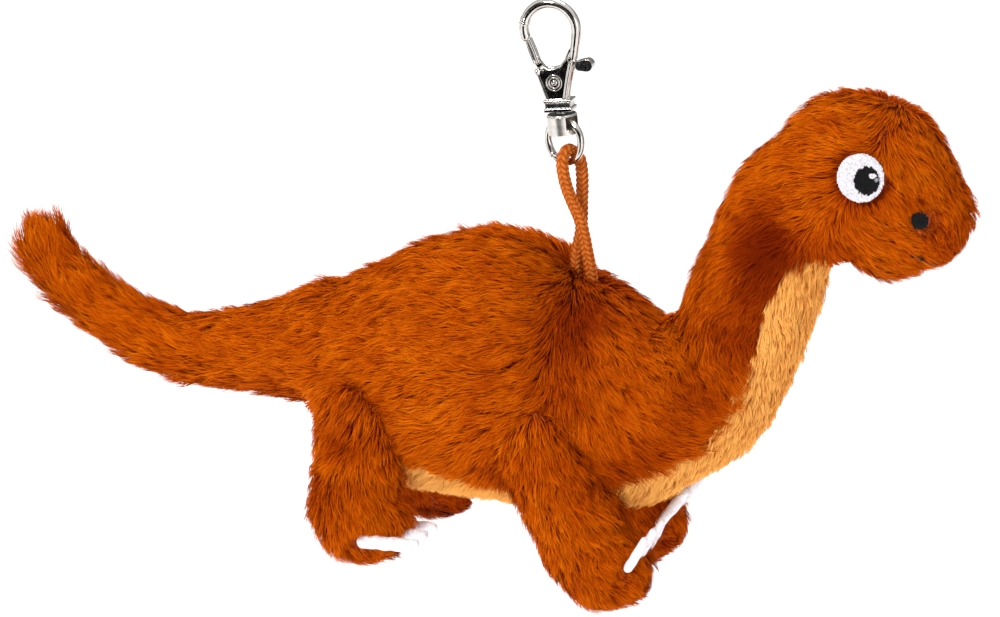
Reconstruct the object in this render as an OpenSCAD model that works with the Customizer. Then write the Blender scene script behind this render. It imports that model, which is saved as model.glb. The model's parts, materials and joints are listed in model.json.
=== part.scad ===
// Plush long-necked dinosaur on a keychain: trigger clasp, swivel, jump ring,
// braided cord loop, and a stuffed body of pile fabric with four sewn-on legs.
// Millimetres. The origin is the held point, inside the top of the hook.
// +X points to the nose, +Z is up, and the toy is symmetric about Y = 0.

/* [Clasp] */
// Lean of the clasp, from upright, in degrees
clasp_lean = 6.5; // [0:0.5:10]
// Radius of the hook's round top, to the middle of its wire
hook_r = 5.4; // [4.8:0.1:7]
// Thickness of the hook's wire
wire_d = 2.1; // [1.6:0.1:2.5]
// Drop from the held point to the lowest point of the mouth
mouth_drop = 11.5; // [10:0.1:14]
// Radius of the round bottom of the mouth
mouth_low_r = 2; // [1.6:0.1:2.6]
// Drop from the held point to the top of the collar
plate_drop = 18.5; // [16.5:0.1:22]
// Thickness of the plate between hook and collar
plate_t = 3.4; // [3:0.1:4.5]
// Width of the collar
collar_w = 5.8; // [5.4:0.1:7.5]
// Height of the collar
collar_h = 2.3; // [2:0.1:3.5]
// Depth of the collar, front to back
collar_t = 4.4; // [4:0.1:5.5]

/* [Gate] */
// Width of the gap inside the plate where the lever turns
slot_w = 2; // [1.7:0.1:2.2]
// Drop from the held point to the rivet that the lever turns on
pivot_drop = 14.9; // [14:0.1:15.5]
// Thickness of the lever's web
lever_t = 1.1; // [0.8:0.1:1.3]
// Width of the gate bar that closes the mouth
gate_w = 1.9; // [1.5:0.1:2.2]
// Reach of the thumb tab past the clasp's middle
tab_reach = 8.2; // [7.4:0.1:10]
// Height of the thumb tab
tab_h = 2.6; // [2:0.1:3.2]
// Hole through the hollow rivet
rivet_hole_d = 1.2; // [0.8:0.1:1.4]
// Outer diameter of the rivet's tube
rivet_d = 2.2; // [2:0.1:2.6]
// Diameter of the rivet's rolled rims
rivet_rim_d = 3.4; // [3:0.1:3.8]
// Wire of the gate's spring
spring_wire_d = 0.3; // [0.2:0.05:0.4]

/* [Swivel] */
// Diameter of the swivel barrel
barrel_d = 6.2; // [5.8:0.1:7.5]
// Height of the swivel barrel
barrel_h = 4.1; // [4:0.1:5]
// Gap between collar and barrel
barrel_gap = 0.6; // [0.3:0.1:1]
// Diameter of the post that joins collar and barrel
post_d = 2; // [1.6:0.1:2.4]
// Clearance round the post in the collar
post_clearance = 0.05; // [0.02:0.01:0.1]

/* [Ring] */
// Outer diameter of the jump ring
ring_od = 10.1; // [9.8:0.1:14]
// Wire of the jump ring
ring_wire_d = 1.5; // [1.2:0.1:1.8]
// Turn of the ring away from the hook's plane, in degrees
ring_turn = 24; // [0:1:40]
// Clearance over the ring in the barrel's window
ring_clearance = 0.12; // [0.08:0.01:0.2]

/* [Cord] */
// Thickness of the braided cord
cord_d = 2.7; // [2.2:0.1:2.8]
// Drop from the ring's wire to where the cord enters the back
loop_drop = 22.7; // [22:0.1:24]

/* [Body] */
// Width of the torso
body_w = 44; // [36:1:52]
// Height of the torso
body_h = 53.4; // [46:0.2:60]
// Length of the tail, from the rump
tail_len = 63.5; // [45:0.5:85]
// Length of the neck, from the chest to the head
neck_len = 40; // [34:0.5:50]
// Thickness of the neck
neck_d = 25; // [20:0.5:29]
// Height of the head
head_h = 31.6; // [26:0.5:36]
// Width of the head
head_w = 28; // [24:0.5:34]
// Thickness of the pile fabric, backing and pressed pile together
skin_t = 2; // [1.4:0.1:2.6]

/* [Legs] */
// Distance between left and right feet
foot_track = 35; // [32:1:46]
// Thickness of a foot
foot_d = 17; // [14:0.5:20]
// Drop from the back to the soles of the front feet
front_leg_drop = 64.7; // [60:0.5:72]
// Drop from the back to the soles of the hind feet
hind_leg_drop = 58.5; // [54:0.5:66]
// Step of the left front foot ahead of the right one
front_step = -3; // [-4:0.5:4]
// Step of the left hind foot ahead of the right one
hind_step = 4; // [-4:0.5:6]
// Length of a claw
claw_len = 10; // [7:0.5:12]
// Thickness of a claw
claw_d = 2.2; // [1.6:0.1:2.8]

/* [Face] */
// Diameter of the embroidered eye
eye_d = 9.4; // [7:0.1:12]
// Diameter of the pupil
pupil_d = 5.2; // [3.5:0.1:6]
// Diameter of the nostril
nostril_d = 3.4; // [2:0.1:4]
// Height of an embroidered patch over the cloth
stitch_h = 0.7; // [0.4:0.1:1]

/* [Hidden] */

$fn = 32;
sliver = 0.01;
far = 300;
plush = [0.72, 0.36, 0.08];
cream = [0.95, 0.73, 0.47];
nickel = [0.78, 0.77, 0.75];
white = [0.95, 0.93, 0.92];
black = [0.05, 0.05, 0.05];
fibre = [0.93, 0.93, 0.9];

// Clasp places, in the clasp's own leaning frame: x across, z up, y through.
wire_r = wire_d / 2;
post_x = 0.45;
collar_x = 0.3;
bead_r = wire_r + 0.04;
hook_c = [0, 0, -(hook_r - wire_r)];
mouth_c = [0.2, 0, -(mouth_drop - mouth_low_r)];
plate_left = [-3.4, 0, -(mouth_drop + 1.3)];
plate_right = [4.3, 0, -(mouth_drop - 1.3)];
plate_foot = [collar_x - collar_w / 2 + 0.9, collar_x + collar_w / 2 - 1.4];
pivot = [0, 0, -pivot_drop];
web_dip = 0.3;
nose_angle = 194;
gate_tip = [-hook_r + 0.65, 0, hook_c[2] - 1.6];
gate_foot = [-3.5, 0, -(mouth_drop - 0.6)];
gate_gap = 0.2;
tab_z = -(mouth_drop + 0.2);
barrel_top = -(plate_drop + collar_h + barrel_gap);
window_top_wall = 0.45;
ring_r = (ring_od - ring_wire_d) / 2;
ring_top = barrel_top - window_top_wall - ring_clearance - ring_wire_d / 2;
ring_sag = ring_r - sqrt(ring_r * ring_r - barrel_d * barrel_d / 4);
window_w = ring_wire_d + 2 * ring_sag * sin(45) + 2 * ring_clearance;

// Places in the row's frame.
function leaned(p) = [p[0] * cos(clasp_lean) - p[2] * sin(clasp_lean), p[1],
                      p[0] * sin(clasp_lean) + p[2] * cos(clasp_lean)];
ring_c = leaned([post_x, 0, ring_top - ring_r]);
cord_on_ring = 15;
wire_point = ring_c + ring_r * [sin(cord_on_ring) * cos(ring_turn), -sin(cord_on_ring) * sin(ring_turn),
                                -cos(cord_on_ring)];
back = [wire_point[0] + 1.3, 0, wire_point[2] - loop_drop];

// The cord's route, from the ring's wire: up one strand, over the wire, down the other.
cord_route = [
    [5.2, 0.2, -30], [5.1, 0.1, -27], [4.9, 0, -24.5], [4.6, -0.2, -21.5], [4, -0.5, -18],
    [3.4, -0.8, -14.5], [2.5, -1.1, -11], [1.3, -1.5, -8], [0.3, -2.1, -5], [-0.4, -2.4, -2],
    [-0.7, -2.2, 0.3], [-0.6, -1.2, 1.9], [-0.1, 0.3, 2.4], [0.7, 1.8, 1.6], [1.6, 2.4, 0],
    [2, 2.5, -2.5], [2.1, 2.4, -5.5], [2.1, 2.2, -8.5], [2.1, 2.1, -11.5], [2, 2, -14.5],
    [1.5, 1.7, -17.5], [1.1, 1.3, -21], [1, 0.9, -24.5], [1, 0.7, -27], [1.1, 0.6, -30]
];
cord_sides = 8;
cord_rings_per_step = 3;

// Body stations in the toy's own frame, whose origin is where the cord enters the back:
// [x, z, half height, half width, half length], from the tail's tip to the top of the neck.
// A station with no half length is as long as it is high.
rump_x = -49;
body_r = body_h / 2;
half_w = body_w / 2;
neck_r = neck_d / 2;
chest = [28.5, -19.9];
neck_dir = [sin(24.5), cos(24.5)];
tail_stations = [
    [rump_x - tail_len, -4, 5, 4.6], [rump_x - 0.9 * tail_len, -10.2, 5.7, 5.2],
    [rump_x - 0.79 * tail_len, -14.8, 6.1, 5.6], [rump_x - 0.63 * tail_len, -19.6, 6.7, 6.2],
    [rump_x - 0.5 * tail_len, -21.3, 6.9, 6.5], [rump_x - 0.4 * tail_len, -21.2, 7.7, 7.2],
    [rump_x - 0.27 * tail_len, -20.5, 8.8, 8.4], [rump_x - 0.12 * tail_len, -19.5, 10.8, 10.4],
    [rump_x, -18.5, 13.4, 13]
];
torso_stations = [
    [-43, -20.4, body_r - 10.4, half_w - 6.5, 12.5], [-36.5, 3.7 - body_r, body_r - 3.4, half_w - 3.5, 19],
    [-22.5, 5.7 - body_r, body_r - 0.2, half_w - 1],
    [-8, 5.8 - body_r, body_r + 0.4, half_w, 17],
    [4, 2.6 - body_r, body_r - 2.9, half_w - 1, 9],
    [15, -0.6 - body_r, body_r - 8, half_w - 3, 12]
];
function up_neck(along, bow, r) =
    [chest[0] + neck_dir[0] * along + bow, chest[1] + neck_dir[1] * along, r, r];
neck_stations = [
    [chest[0], chest[1], neck_r + 1.7, neck_r + 2.5], up_neck(neck_len * 0.22, 1.4, neck_r + 0.4),
    up_neck(neck_len * 0.52, 0.4, neck_r + 0.3), up_neck(neck_len * 0.66, 0.1, neck_r),
    up_neck(neck_len, 0.6, neck_r - 0.7)
];
neck_top = neck_stations[len(neck_stations) - 1];
crown = [neck_top[0] + 14.8, neck_top[1] + 9.2, head_h / 2, head_w / 2];
snout = [crown[0] + 12.2, crown[1] - 9.1, head_h / 2 - 6.6, head_w / 2 - 5.5];
jaw = [crown[0] + 2.6, crown[1] - 9.2, head_h / 2 - 5.2, head_w / 2 - 3];
trunk_stations = concat(tail_stations, torso_stations, neck_stations, [crown]);

// The lower edge of the brown panels, from the throat to between the hind legs.
seam_line = [
    [neck_top[0] + 2.4, neck_top[1] - 6.3], [neck_top[0] - 3.3, neck_top[1] - 16.9],
    [neck_top[0] - 5, neck_top[1] - 24], [neck_top[0] - 8, neck_top[1] - 31],
    [chest[0] + 6.5, chest[1] - 1.5], [chest[0] + 0.1, chest[1] - 11.8], [15.8, 17.1 - body_h],
    [8.3, 14.3 - body_h], [-15.3, 12.5 - body_h], [-28, 14.8 - body_h], [-40, 17.5 - body_h]
];

// Legs: [x, y, z, radius] from the hip or shoulder down to the toe, for the right side.
foot_r = foot_d / 2;
foot_y = -foot_track / 2;
function front_leg(step) = [
    [-2, -12, 37.2 - front_leg_drop, foot_r + 4], [2.4, -14.5, 22 - front_leg_drop, foot_r + 0.7],
    [7.2 + step / 2, foot_y + 1.5, 13.5 - front_leg_drop, foot_r + 0.7],
    [11.8 + step, foot_y, foot_r - front_leg_drop, foot_r],
    [14.8 + step, foot_y, foot_r + 0.7 - front_leg_drop, foot_r - 1]
];
function hind_leg(step) = [
    [-39, -10, 33 - hind_leg_drop, foot_r + 2.5], [-41 + step / 3, -13.5, 21 - hind_leg_drop, foot_r + 0.7],
    [-41.3 + step * 2 / 3, foot_y + 1.5, 12 - hind_leg_drop, foot_r + 0.3],
    [-39.3 + step, foot_y, foot_r - hind_leg_drop, foot_r],
    [-36 + step, foot_y, foot_r - 0.6 - hind_leg_drop, foot_r - 1.6]
];
claw_pitch = 6.2;
function front_claw(step) = [[16.8 + step, foot_y - 1, foot_r + 1.4 - front_leg_drop], 50];
function hind_claw(step) = [[-37.5 + step, foot_y - 1, 6.2 - hind_leg_drop], -3];

// Face: each patch lies on the head's side, tilted to the cloth.
eye = [crown[0] + 1.6, -head_w / 2 * 0.985, crown[1] + 1.7];
eye_yaw = 9;
pupil_shift = [1.3, -0.4];
nostril = [snout[0] + 0.2, -(head_w / 2 - 4.9), snout[1] + 1.9];
nostril_yaw = 14;
mouth_line = [
    [snout[0] - 1.4, -snout[3] * 0.8, snout[1] - 6.6], [snout[0] + 1.8, -snout[3] * 0.56, snout[1] - 8],
    [snout[0] + 4, -snout[3] * 0.2, snout[1] - 8]
];

module in_clasp() {
    rotate([0, -clasp_lean, 0]) children();
}

module on_toy() {
    translate(back) children();
}

module through_y(thickness) {
    rotate([90, 0, 0]) translate([0, 0, -thickness / 2]) linear_extrude(thickness) children();
}

module bar(a, b, r) {
    run = b - a;
    translate(a) rotate([0, atan2(run[0], run[2]), 0]) cylinder(r = r, h = norm(run));
}

module bead(p, r) {
    translate(p) sphere(r = r);
}

module mouth() {
    hull() {
        translate([hook_c[0], hook_c[2]]) circle(r = hook_r - wire_r);
        translate([mouth_c[0], mouth_c[2]]) circle(r = mouth_low_r);
    }
}

module plate_outline() {
    polygon([
        [plate_left[0] - 0.5, plate_left[2] + 0.6], [plate_left[0] + 1.6, plate_left[2] + 2.4],
        [plate_right[0] - 1.5, plate_right[2] + 2.2], [plate_right[0] + 1, plate_right[2] + 0.9],
        [plate_foot[1] + 0.5, -plate_drop - 0.2], [plate_foot[0] - 0.5, -plate_drop - 0.2]
    ]);
}

module lever_room() {
    translate([pivot[0], pivot[2]]) circle(r = 2.7);
    polygon([
        [plate_left[0] - 2, plate_left[2] + 0.4], [plate_left[0] - 2, plate_left[2] + 4],
        [plate_right[0] + 3, plate_right[2] + 1.6], [plate_right[0] + 3, pivot[2] - 0.2],
        [pivot[0], pivot[2] - 2.7], [pivot[0] - 2.4, pivot[2] - 0.6]
    ]);
}

// Hook, plate and collar are one casting.
module hook_frame() {
    color(nickel) in_clasp() difference() {
        union() {
            translate(hook_c) rotate([90, 0, 0]) rotate([0, 0, -12])
                rotate_extrude(angle = nose_angle + 12) translate([hook_r, 0]) circle(r = wire_r);
            right_start = hook_c + hook_r * [cos(12), 0, -sin(12)];
            bar(right_start, plate_right, wire_r);
            bead(right_start, bead_r);
            bead(plate_right, bead_r);
            bar(plate_right, [plate_foot[1], 0, -plate_drop], wire_r);
            bar(plate_left, [plate_foot[0], 0, -plate_drop], wire_r);
            bead(plate_left, bead_r);
            difference() {
                through_y(plate_t) plate_outline();
                through_y(far) mouth();
                for (side = [-1, 1]) translate([0, side * (plate_t - web_dip), 0])
                    through_y(plate_t) offset(delta = -0.9) difference() {
                        plate_outline();
                        offset(delta = 0.15) mouth();
                    }
            }
            translate([collar_x - collar_w / 2, -collar_t / 2, -plate_drop - collar_h])
                cube([collar_w, collar_t, collar_h]);
        }
        through_y(slot_w) lever_room();
        translate(pivot) rotate([90, 0, 0]) cylinder(d = rivet_d, h = far, center = true);
        translate([post_x, 0, -plate_drop - collar_h - 1])
            cylinder(r = post_d / 2 + post_clearance, h = collar_h + 1.5);
        translate([post_x, 0, -plate_drop - collar_h + 1]) cylinder(d = post_d + 1.5, h = 1.6);
        for (side = [-1, 1]) translate([collar_x, side * collar_t / 2, -plate_drop - collar_h / 2])
            cube([collar_w - 1.6, 0.6, 0.9], center = true);
    }
}

// One stamping: gate bar, web on the rivet, and thumb tab.
module gate_lever() {
    color(nickel) in_clasp() difference() {
        union() {
            through_y(lever_t) {
                translate([pivot[0], pivot[2]]) circle(r = 2.2);
                hull() {
                    translate([pivot[0] - 0.4, pivot[2] + 0.6]) circle(r = 1.5);
                    translate([gate_foot[0] + 0.1, gate_foot[2]]) circle(r = gate_w / 2);
                }
                hull() {
                    translate([pivot[0] + 0.5, pivot[2] + 0.3]) circle(r = 1.3);
                    translate([plate_right[0] - 0.4, tab_z - 0.2]) circle(r = tab_h / 2 - 0.2);
                }
                hull() {
                    translate([plate_right[0] - 0.4, tab_z - 0.2]) circle(r = tab_h / 2 - 0.2);
                    translate([tab_reach - tab_h / 2, tab_z]) circle(r = tab_h / 2);
                }
            }
            through_y(slot_w + 0.5) hull() {
                translate([plate_right[0] + wire_r + 1.1, tab_z]) circle(r = tab_h / 2 - 0.3);
                translate([tab_reach - tab_h / 2, tab_z]) circle(r = tab_h / 2);
            }
            through_y(slot_w - 0.2) hull() {
                translate([gate_tip[0], gate_tip[2]]) circle(r = gate_w / 2 - 0.1);
                translate([gate_foot[0], gate_foot[2] + 0.9]) circle(r = gate_w / 2 - 0.1);
            }
        }
        translate(pivot) rotate([90, 0, 0]) cylinder(d = rivet_d + 0.1, h = far, center = true);
        translate(hook_c) rotate([90, 0, 0]) rotate([0, 0, nose_angle - 60])
            rotate_extrude(angle = 60) translate([hook_r, 0]) circle(r = wire_r + gate_gap);
        translate(hook_c + hook_r * [cos(nose_angle), 0, sin(nose_angle)]) sphere(r = gate_gap + 0.75);
    }
}

module gate_rivet() {
    seat = plate_t / 2 - web_dip;
    color(nickel) in_clasp() translate(pivot) rotate([90, 0, 0]) difference() {
        union() {
            cylinder(d = rivet_d, h = 2 * seat + 0.02, center = true);
            for (side = [-1, 1]) translate([0, 0, side * (seat + 0.2)])
                cylinder(d = rivet_rim_d, h = 0.4, center = true);
        }
        cylinder(d = rivet_hole_d, h = far, center = true);
    }
}

// A two-turn torsion spring round the rivet, beside the lever's web.
module gate_spring() {
    coil_r = rivet_d / 2 + 0.15 + spring_wire_d / 2;
    side_y = lever_t / 2 + spring_wire_d / 2 + 0.03;
    color([0.5, 0.5, 0.5]) in_clasp() translate(pivot - [0, side_y, 0]) {
        rotate([90, 0, 0]) rotate_extrude() translate([coil_r, 0]) circle(d = spring_wire_d);
        bar([-coil_r, 0, 0], [-coil_r - 0.6, 0, 2.6], spring_wire_d / 2);
    }
}

module swivel_barrel() {
    color(nickel) in_clasp() difference() {
        translate([post_x, 0, barrel_top - barrel_h]) {
            cylinder(d = barrel_d, h = barrel_h - 0.3);
            translate([0, 0, barrel_h - 0.3]) cylinder(d = barrel_d - 0.4, h = 0.3);
        }
        translate([post_x, 0, ring_top - ring_r]) rotate([0, 0, -ring_turn])
            through_y(window_w) difference() {
                translate([-far / 2, -far]) square([far, far + ring_r + ring_wire_d / 2 + ring_clearance]);
                circle(r = ring_r - ring_wire_d / 2 - ring_clearance);
            }
        translate([post_x, 0, barrel_top - 1]) cylinder(d = post_d, h = 2);
    }
}

module swivel_post() {
    color(nickel) in_clasp() translate([post_x, 0, 0]) {
        translate([0, 0, barrel_top - window_top_wall])
            cylinder(d = post_d, h = window_top_wall + barrel_gap + 1.3);
        translate([0, 0, barrel_top + barrel_gap + 1.08]) cylinder(d = post_d + 1.1, h = 0.9);
    }
}

module jump_ring() {
    color(nickel) translate(ring_c) rotate([0, 0, -ring_turn]) rotate([90, 0, 0])
        rotate_extrude($fn = 48) translate([ring_r, 0]) circle(d = ring_wire_d);
}

// A smooth curve through the route's points, and the tube swept along it.
function blend_at(a, b, c, d, t) =
    0.5 * (2 * b + (c - a) * t + (2 * a - 5 * b + 4 * c - d) * t * t + (3 * b - a - 3 * c + d) * t * t * t);
function smooth_route(p, steps) = [
    for (i = [0 : len(p) - 2], k = [0 : steps - 1])
        blend_at(p[max(i - 1, 0)], p[i], p[i + 1], p[min(i + 2, len(p) - 1)], k / steps),
    p[len(p) - 1]
];
function unit(v) = v / norm(v);
function frames(p, i = 0, last = [0, 1, 0]) = i >= len(p) ? [] :
    let (t = unit(p[min(i + 1, len(p) - 1)] - p[max(i - 1, 0)]), n = unit(last - (last * t) * t))
    concat([[t, n]], frames(p, i + 1, n));

module tube_along(points, r, sides) {
    turned = frames(points);
    rings = len(points);
    skin = [
        for (i = [0 : rings - 1], k = [0 : sides - 1])
            let (n = turned[i][1], b = cross(turned[i][0], n), a = 360 * k / sides)
            points[i] + r * (cos(a) * n + sin(a) * b)
    ];
    sleeve = [
        for (i = [0 : rings - 2], k = [0 : sides - 1], half = [0, 1])
            let (k2 = (k + 1) % sides, lo = i * sides, hi = lo + sides)
            half == 0 ? [lo + k, lo + k2, hi + k2] : [lo + k, hi + k2, hi + k]
    ];
    first = [for (k = [sides - 1 : -1 : 0]) k];
    last = [for (k = [0 : sides - 1]) (rings - 1) * sides + k];
    polyhedron(points = skin, faces = concat([first], sleeve, [last]));
}

module cord_loop() {
    color(plush) translate(wire_point)
        tube_along(smooth_route(cord_route, cord_rings_per_step), cord_d / 2, cord_sides);
}

// Thread bar that sews both cord ends together inside the back seam.
module loop_tack() {
    low = cord_route[0];
    high = cord_route[len(cord_route) - 1];
    middle = (low + high) / 2;
    color(black) translate(wire_point + middle + [0, 0, 1.5]) for (row = [-0.9, 0, 0.9])
        translate([0, 0, row]) rotate([0, 90, 0])
            cylinder(d = 0.5, h = low[0] - high[0] - cord_d - 0.05, center = true);
}

module station(s, inset) {
    half = s[2] - inset;
    reach = (len(s) > 4 ? s[4] : s[2]) - inset;
    translate([s[0], 0, s[1]]) rotate([90, 0, 0]) scale([reach / half, 1, (s[3] - inset) / half])
        sphere(r = half, $fn = 20);
}

module trunk(inset = 0, from = 0) {
    for (i = [from : len(trunk_stations) - 2]) hull() {
        station(trunk_stations[i], inset);
        station(trunk_stations[i + 1], inset);
    }
    hull() {
        station(crown, inset);
        station(jaw, inset);
        station(snout, inset);
    }
}

module belly_side() {
    rotate([90, 0, 0]) linear_extrude(far, center = true)
        polygon(concat(seam_line, [[-52, 5.5 - body_h], [-52, -far], [far, -far], [far, seam_line[0][1]]]));
}

module limb(stations, inset) {
    for (i = [0 : len(stations) - 2]) hull() for (s = [stations[i], stations[i + 1]])
        translate([s[0], s[1], s[2]]) sphere(r = s[3] - inset, $fn = 16);
}

module right_half() {
    translate([-far, -2 * far - sliver, -far]) cube([2 * far, 2 * far, 2 * far]);
}

module on_eye() {
    translate(eye) rotate([90, 0, eye_yaw]) children();
}

module eye_patch() {
    on_eye() translate([0, 0, -skin_t]) cylinder(d = eye_d, h = skin_t + stitch_h);
}

module nostril_patch() {
    translate(nostril) rotate([90, 0, nostril_yaw]) translate([0, 0, -skin_t])
        cylinder(d = nostril_d, h = skin_t + stitch_h);
}

module side_panel() {
    color(plush) on_toy() difference() {
        intersection() {
            difference() {
                trunk();
                trunk(skin_t);
                belly_side();
            }
            right_half();
        }
        eye_patch();
        nostril_patch();
    }
}

module belly_gusset() {
    color(cream) on_toy() intersection() {
        difference() {
            trunk();
            trunk(skin_t);
        }
        translate([0, 0, -sliver]) belly_side();
    }
}

module leg_skin(stations) {
    color(plush) on_toy() difference() {
        limb(stations, 0);
        limb(stations, skin_t);
        trunk(-sliver);
    }
}

module leg_stuffing(stations) {
    color(fibre) on_toy() difference() {
        limb(stations, skin_t + sliver);
        trunk(-sliver);
    }
}

module claw_set(claw) {
    color(white) on_toy() for (k = [-1, 0, 1]) translate(claw[0] + [0, k * claw_pitch, 0])
        rotate([0, -claw[1], 0]) hull() {
            scale([1, 1, 0.8]) sphere(d = claw_d, $fn = 10);
            translate([claw_len * 0.6, 0, 0]) scale([1, 1, 0.8]) sphere(d = claw_d * 1.05, $fn = 10);
            translate([claw_len, 0, 0.3]) sphere(d = claw_d * 0.55, $fn = 8);
        }
}

tail_cut = rump_x - 1;
neck_cut = [chest[0] - 2, chest[1] + 4];
head_cut = [neck_top[0] + 2, neck_top[1] + 2];

module past(cut, tilt, side) {
    translate([cut[0], 0, cut[1]]) rotate([0, tilt, 0]) translate([-far, -far, side > 0 ? sliver : -2 * far])
        cube([2 * far, 2 * far, 2 * far - sliver]);
}

module inner_trunk() {
    trunk(skin_t + sliver);
}

module stuffing_tail() {
    color(fibre) on_toy() intersection() {
        inner_trunk();
        past([tail_cut, 0], -90, 1);
    }
}

module stuffing_torso() {
    color(fibre) on_toy() intersection() {
        inner_trunk();
        past([tail_cut, 0], -90, -1);
        past(neck_cut, 35, -1);
    }
}

module stuffing_neck() {
    color(fibre) on_toy() intersection() {
        inner_trunk();
        past(neck_cut, 35, 1);
        past(head_cut, 50, -1);
    }
}

module stuffing_head() {
    color(fibre) on_toy() intersection() {
        inner_trunk();
        past(head_cut, 50, 1);
    }
}

module eye_white() {
    color(white) on_toy() eye_patch();
}

module pupil() {
    color(black) on_toy() on_eye() translate([pupil_shift[0], pupil_shift[1], stitch_h])
        cylinder(d = pupil_d, h = stitch_h / 2);
}

module glint() {
    color(white) on_toy() on_eye() translate([pupil_shift[0] + 0.9, pupil_shift[1] + 0.9, stitch_h * 1.5])
        cylinder(d = pupil_d * 0.3, h = stitch_h / 2);
}

module nostril_spot() {
    color(black) on_toy() nostril_patch();
}

module mouth_stitch() {
    color(black) on_toy() for (side = [-1, 1], i = [0 : 1]) hull() for (k = [0, 1])
        translate([mouth_line[i + k][0], -side * mouth_line[i + k][1], mouth_line[i + k][2]])
            sphere(d = 0.9, $fn = 8);
}

module left() {
    mirror([0, 1, 0]) children();
}

hook_frame();
gate_lever();
gate_rivet();
gate_spring();
swivel_barrel();
swivel_post();
jump_ring();
cord_loop();
loop_tack();
side_panel();  // side_panel_right
left() side_panel();  // side_panel_left
belly_gusset();
leg_skin(front_leg(0));  // leg_front_right
left() leg_skin(front_leg(front_step));  // leg_front_left
leg_skin(hind_leg(0));  // leg_hind_right
left() leg_skin(hind_leg(hind_step));  // leg_hind_left
claw_set(front_claw(0));  // claws_front_right
left() claw_set(front_claw(front_step));  // claws_front_left
claw_set(hind_claw(0));  // claws_hind_right
left() claw_set(hind_claw(hind_step));  // claws_hind_left
stuffing_torso();
stuffing_neck();
stuffing_head();
stuffing_tail();
leg_stuffing(front_leg(0));  // stuffing_front_right
left() leg_stuffing(front_leg(front_step));  // stuffing_front_left
leg_stuffing(hind_leg(0));  // stuffing_hind_right
left() leg_stuffing(hind_leg(hind_step));  // stuffing_hind_left
eye_white();  // eye_white_right
left() eye_white();  // eye_white_left
pupil();  // pupil_right
left() pupil();  // pupil_left
glint();  // glint_right
left() glint();  // glint_left
nostril_spot();  // nostril_right
left() nostril_spot();  // nostril_left
mouth_stitch();
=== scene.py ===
# %% [markdown]
# # A plush keychain, stitched and cast in code
# The toy is a small stuffed dinosaur on a trigger clasp. Its solid parts are already
# modelled, and they are loaded here as a frame that nothing below may move. Each
# visible piece is then made on that frame: metal, braided cord, pile, and stitches.

# %% Load the frame
import bpy, json, math
import numpy as np
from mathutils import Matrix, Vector
from mathutils.bvhtree import BVHTree
from mathutils.kdtree import KDTree


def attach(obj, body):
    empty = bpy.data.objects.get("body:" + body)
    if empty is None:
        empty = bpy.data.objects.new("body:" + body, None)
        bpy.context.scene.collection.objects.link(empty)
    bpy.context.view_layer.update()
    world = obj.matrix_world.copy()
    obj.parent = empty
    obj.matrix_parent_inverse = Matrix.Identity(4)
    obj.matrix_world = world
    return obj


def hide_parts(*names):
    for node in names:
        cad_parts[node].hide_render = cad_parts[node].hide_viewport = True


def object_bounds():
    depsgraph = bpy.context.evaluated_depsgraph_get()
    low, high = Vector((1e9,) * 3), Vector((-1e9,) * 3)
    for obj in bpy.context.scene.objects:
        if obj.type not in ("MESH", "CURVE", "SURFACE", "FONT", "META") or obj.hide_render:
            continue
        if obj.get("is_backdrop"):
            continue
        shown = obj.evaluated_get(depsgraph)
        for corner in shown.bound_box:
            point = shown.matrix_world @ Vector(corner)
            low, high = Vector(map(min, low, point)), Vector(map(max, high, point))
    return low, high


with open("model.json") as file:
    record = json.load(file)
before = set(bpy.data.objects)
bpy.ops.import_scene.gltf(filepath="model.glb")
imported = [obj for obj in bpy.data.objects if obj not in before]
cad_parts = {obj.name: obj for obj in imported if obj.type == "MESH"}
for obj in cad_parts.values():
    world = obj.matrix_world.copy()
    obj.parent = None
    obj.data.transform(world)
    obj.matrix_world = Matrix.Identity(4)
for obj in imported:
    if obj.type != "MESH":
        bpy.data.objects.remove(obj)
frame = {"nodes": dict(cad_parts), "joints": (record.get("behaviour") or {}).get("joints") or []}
cad_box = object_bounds()
scene = bpy.context.scene
joints = {j["name"]: j for j in frame["joints"]}

# %% [markdown]
# ## Places
# The clasp leans a little, so its parts are laid out in a frame of its own, x across,
# z up and y through it. The toy has a second frame, in millimetres, whose origin is
# where the cord enters the back. Both come from the joints of the loaded model.

# %% The clasp's frame and the toy's frame
MM = 0.001
spin_axis = np.array(joints["swivel_spin"]["axis"])
ring_centre = np.array(joints["cord_slide"]["pos_m"])
ring_across = np.array(joints["ring_swing"]["axis"])
ring_r = np.linalg.norm(np.array(joints["ring_swing"]["pos_m"]) - ring_centre)
lean = math.atan2(-spin_axis[0], spin_axis[2])
wire_point = ring_centre + ring_r * (math.sin(math.radians(15)) * ring_across
                                     - math.cos(math.radians(15)) * np.array([0, 0, 1]))
back = np.array([wire_point[0] + 1.3 * MM, 0, wire_point[2] - 22.7 * MM])


def clasp_to_world(p):
    p = np.asarray(p, float) * MM
    x, y, z = p[..., 0], p[..., 1], p[..., 2]
    return np.stack([x * math.cos(lean) - z * math.sin(lean), y,
                     x * math.sin(lean) + z * math.cos(lean)], -1)


def toy_to_world(p):
    return np.asarray(p, float) * MM + back


print("lean", round(math.degrees(lean), 2), "back at", back.round(4))

# %% [markdown]
# ## Camera
# A long lens keeps the near and far legs almost the same size. The camera stands a
# little to the nose's side and above, and aims at the middle of the toy.

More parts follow.
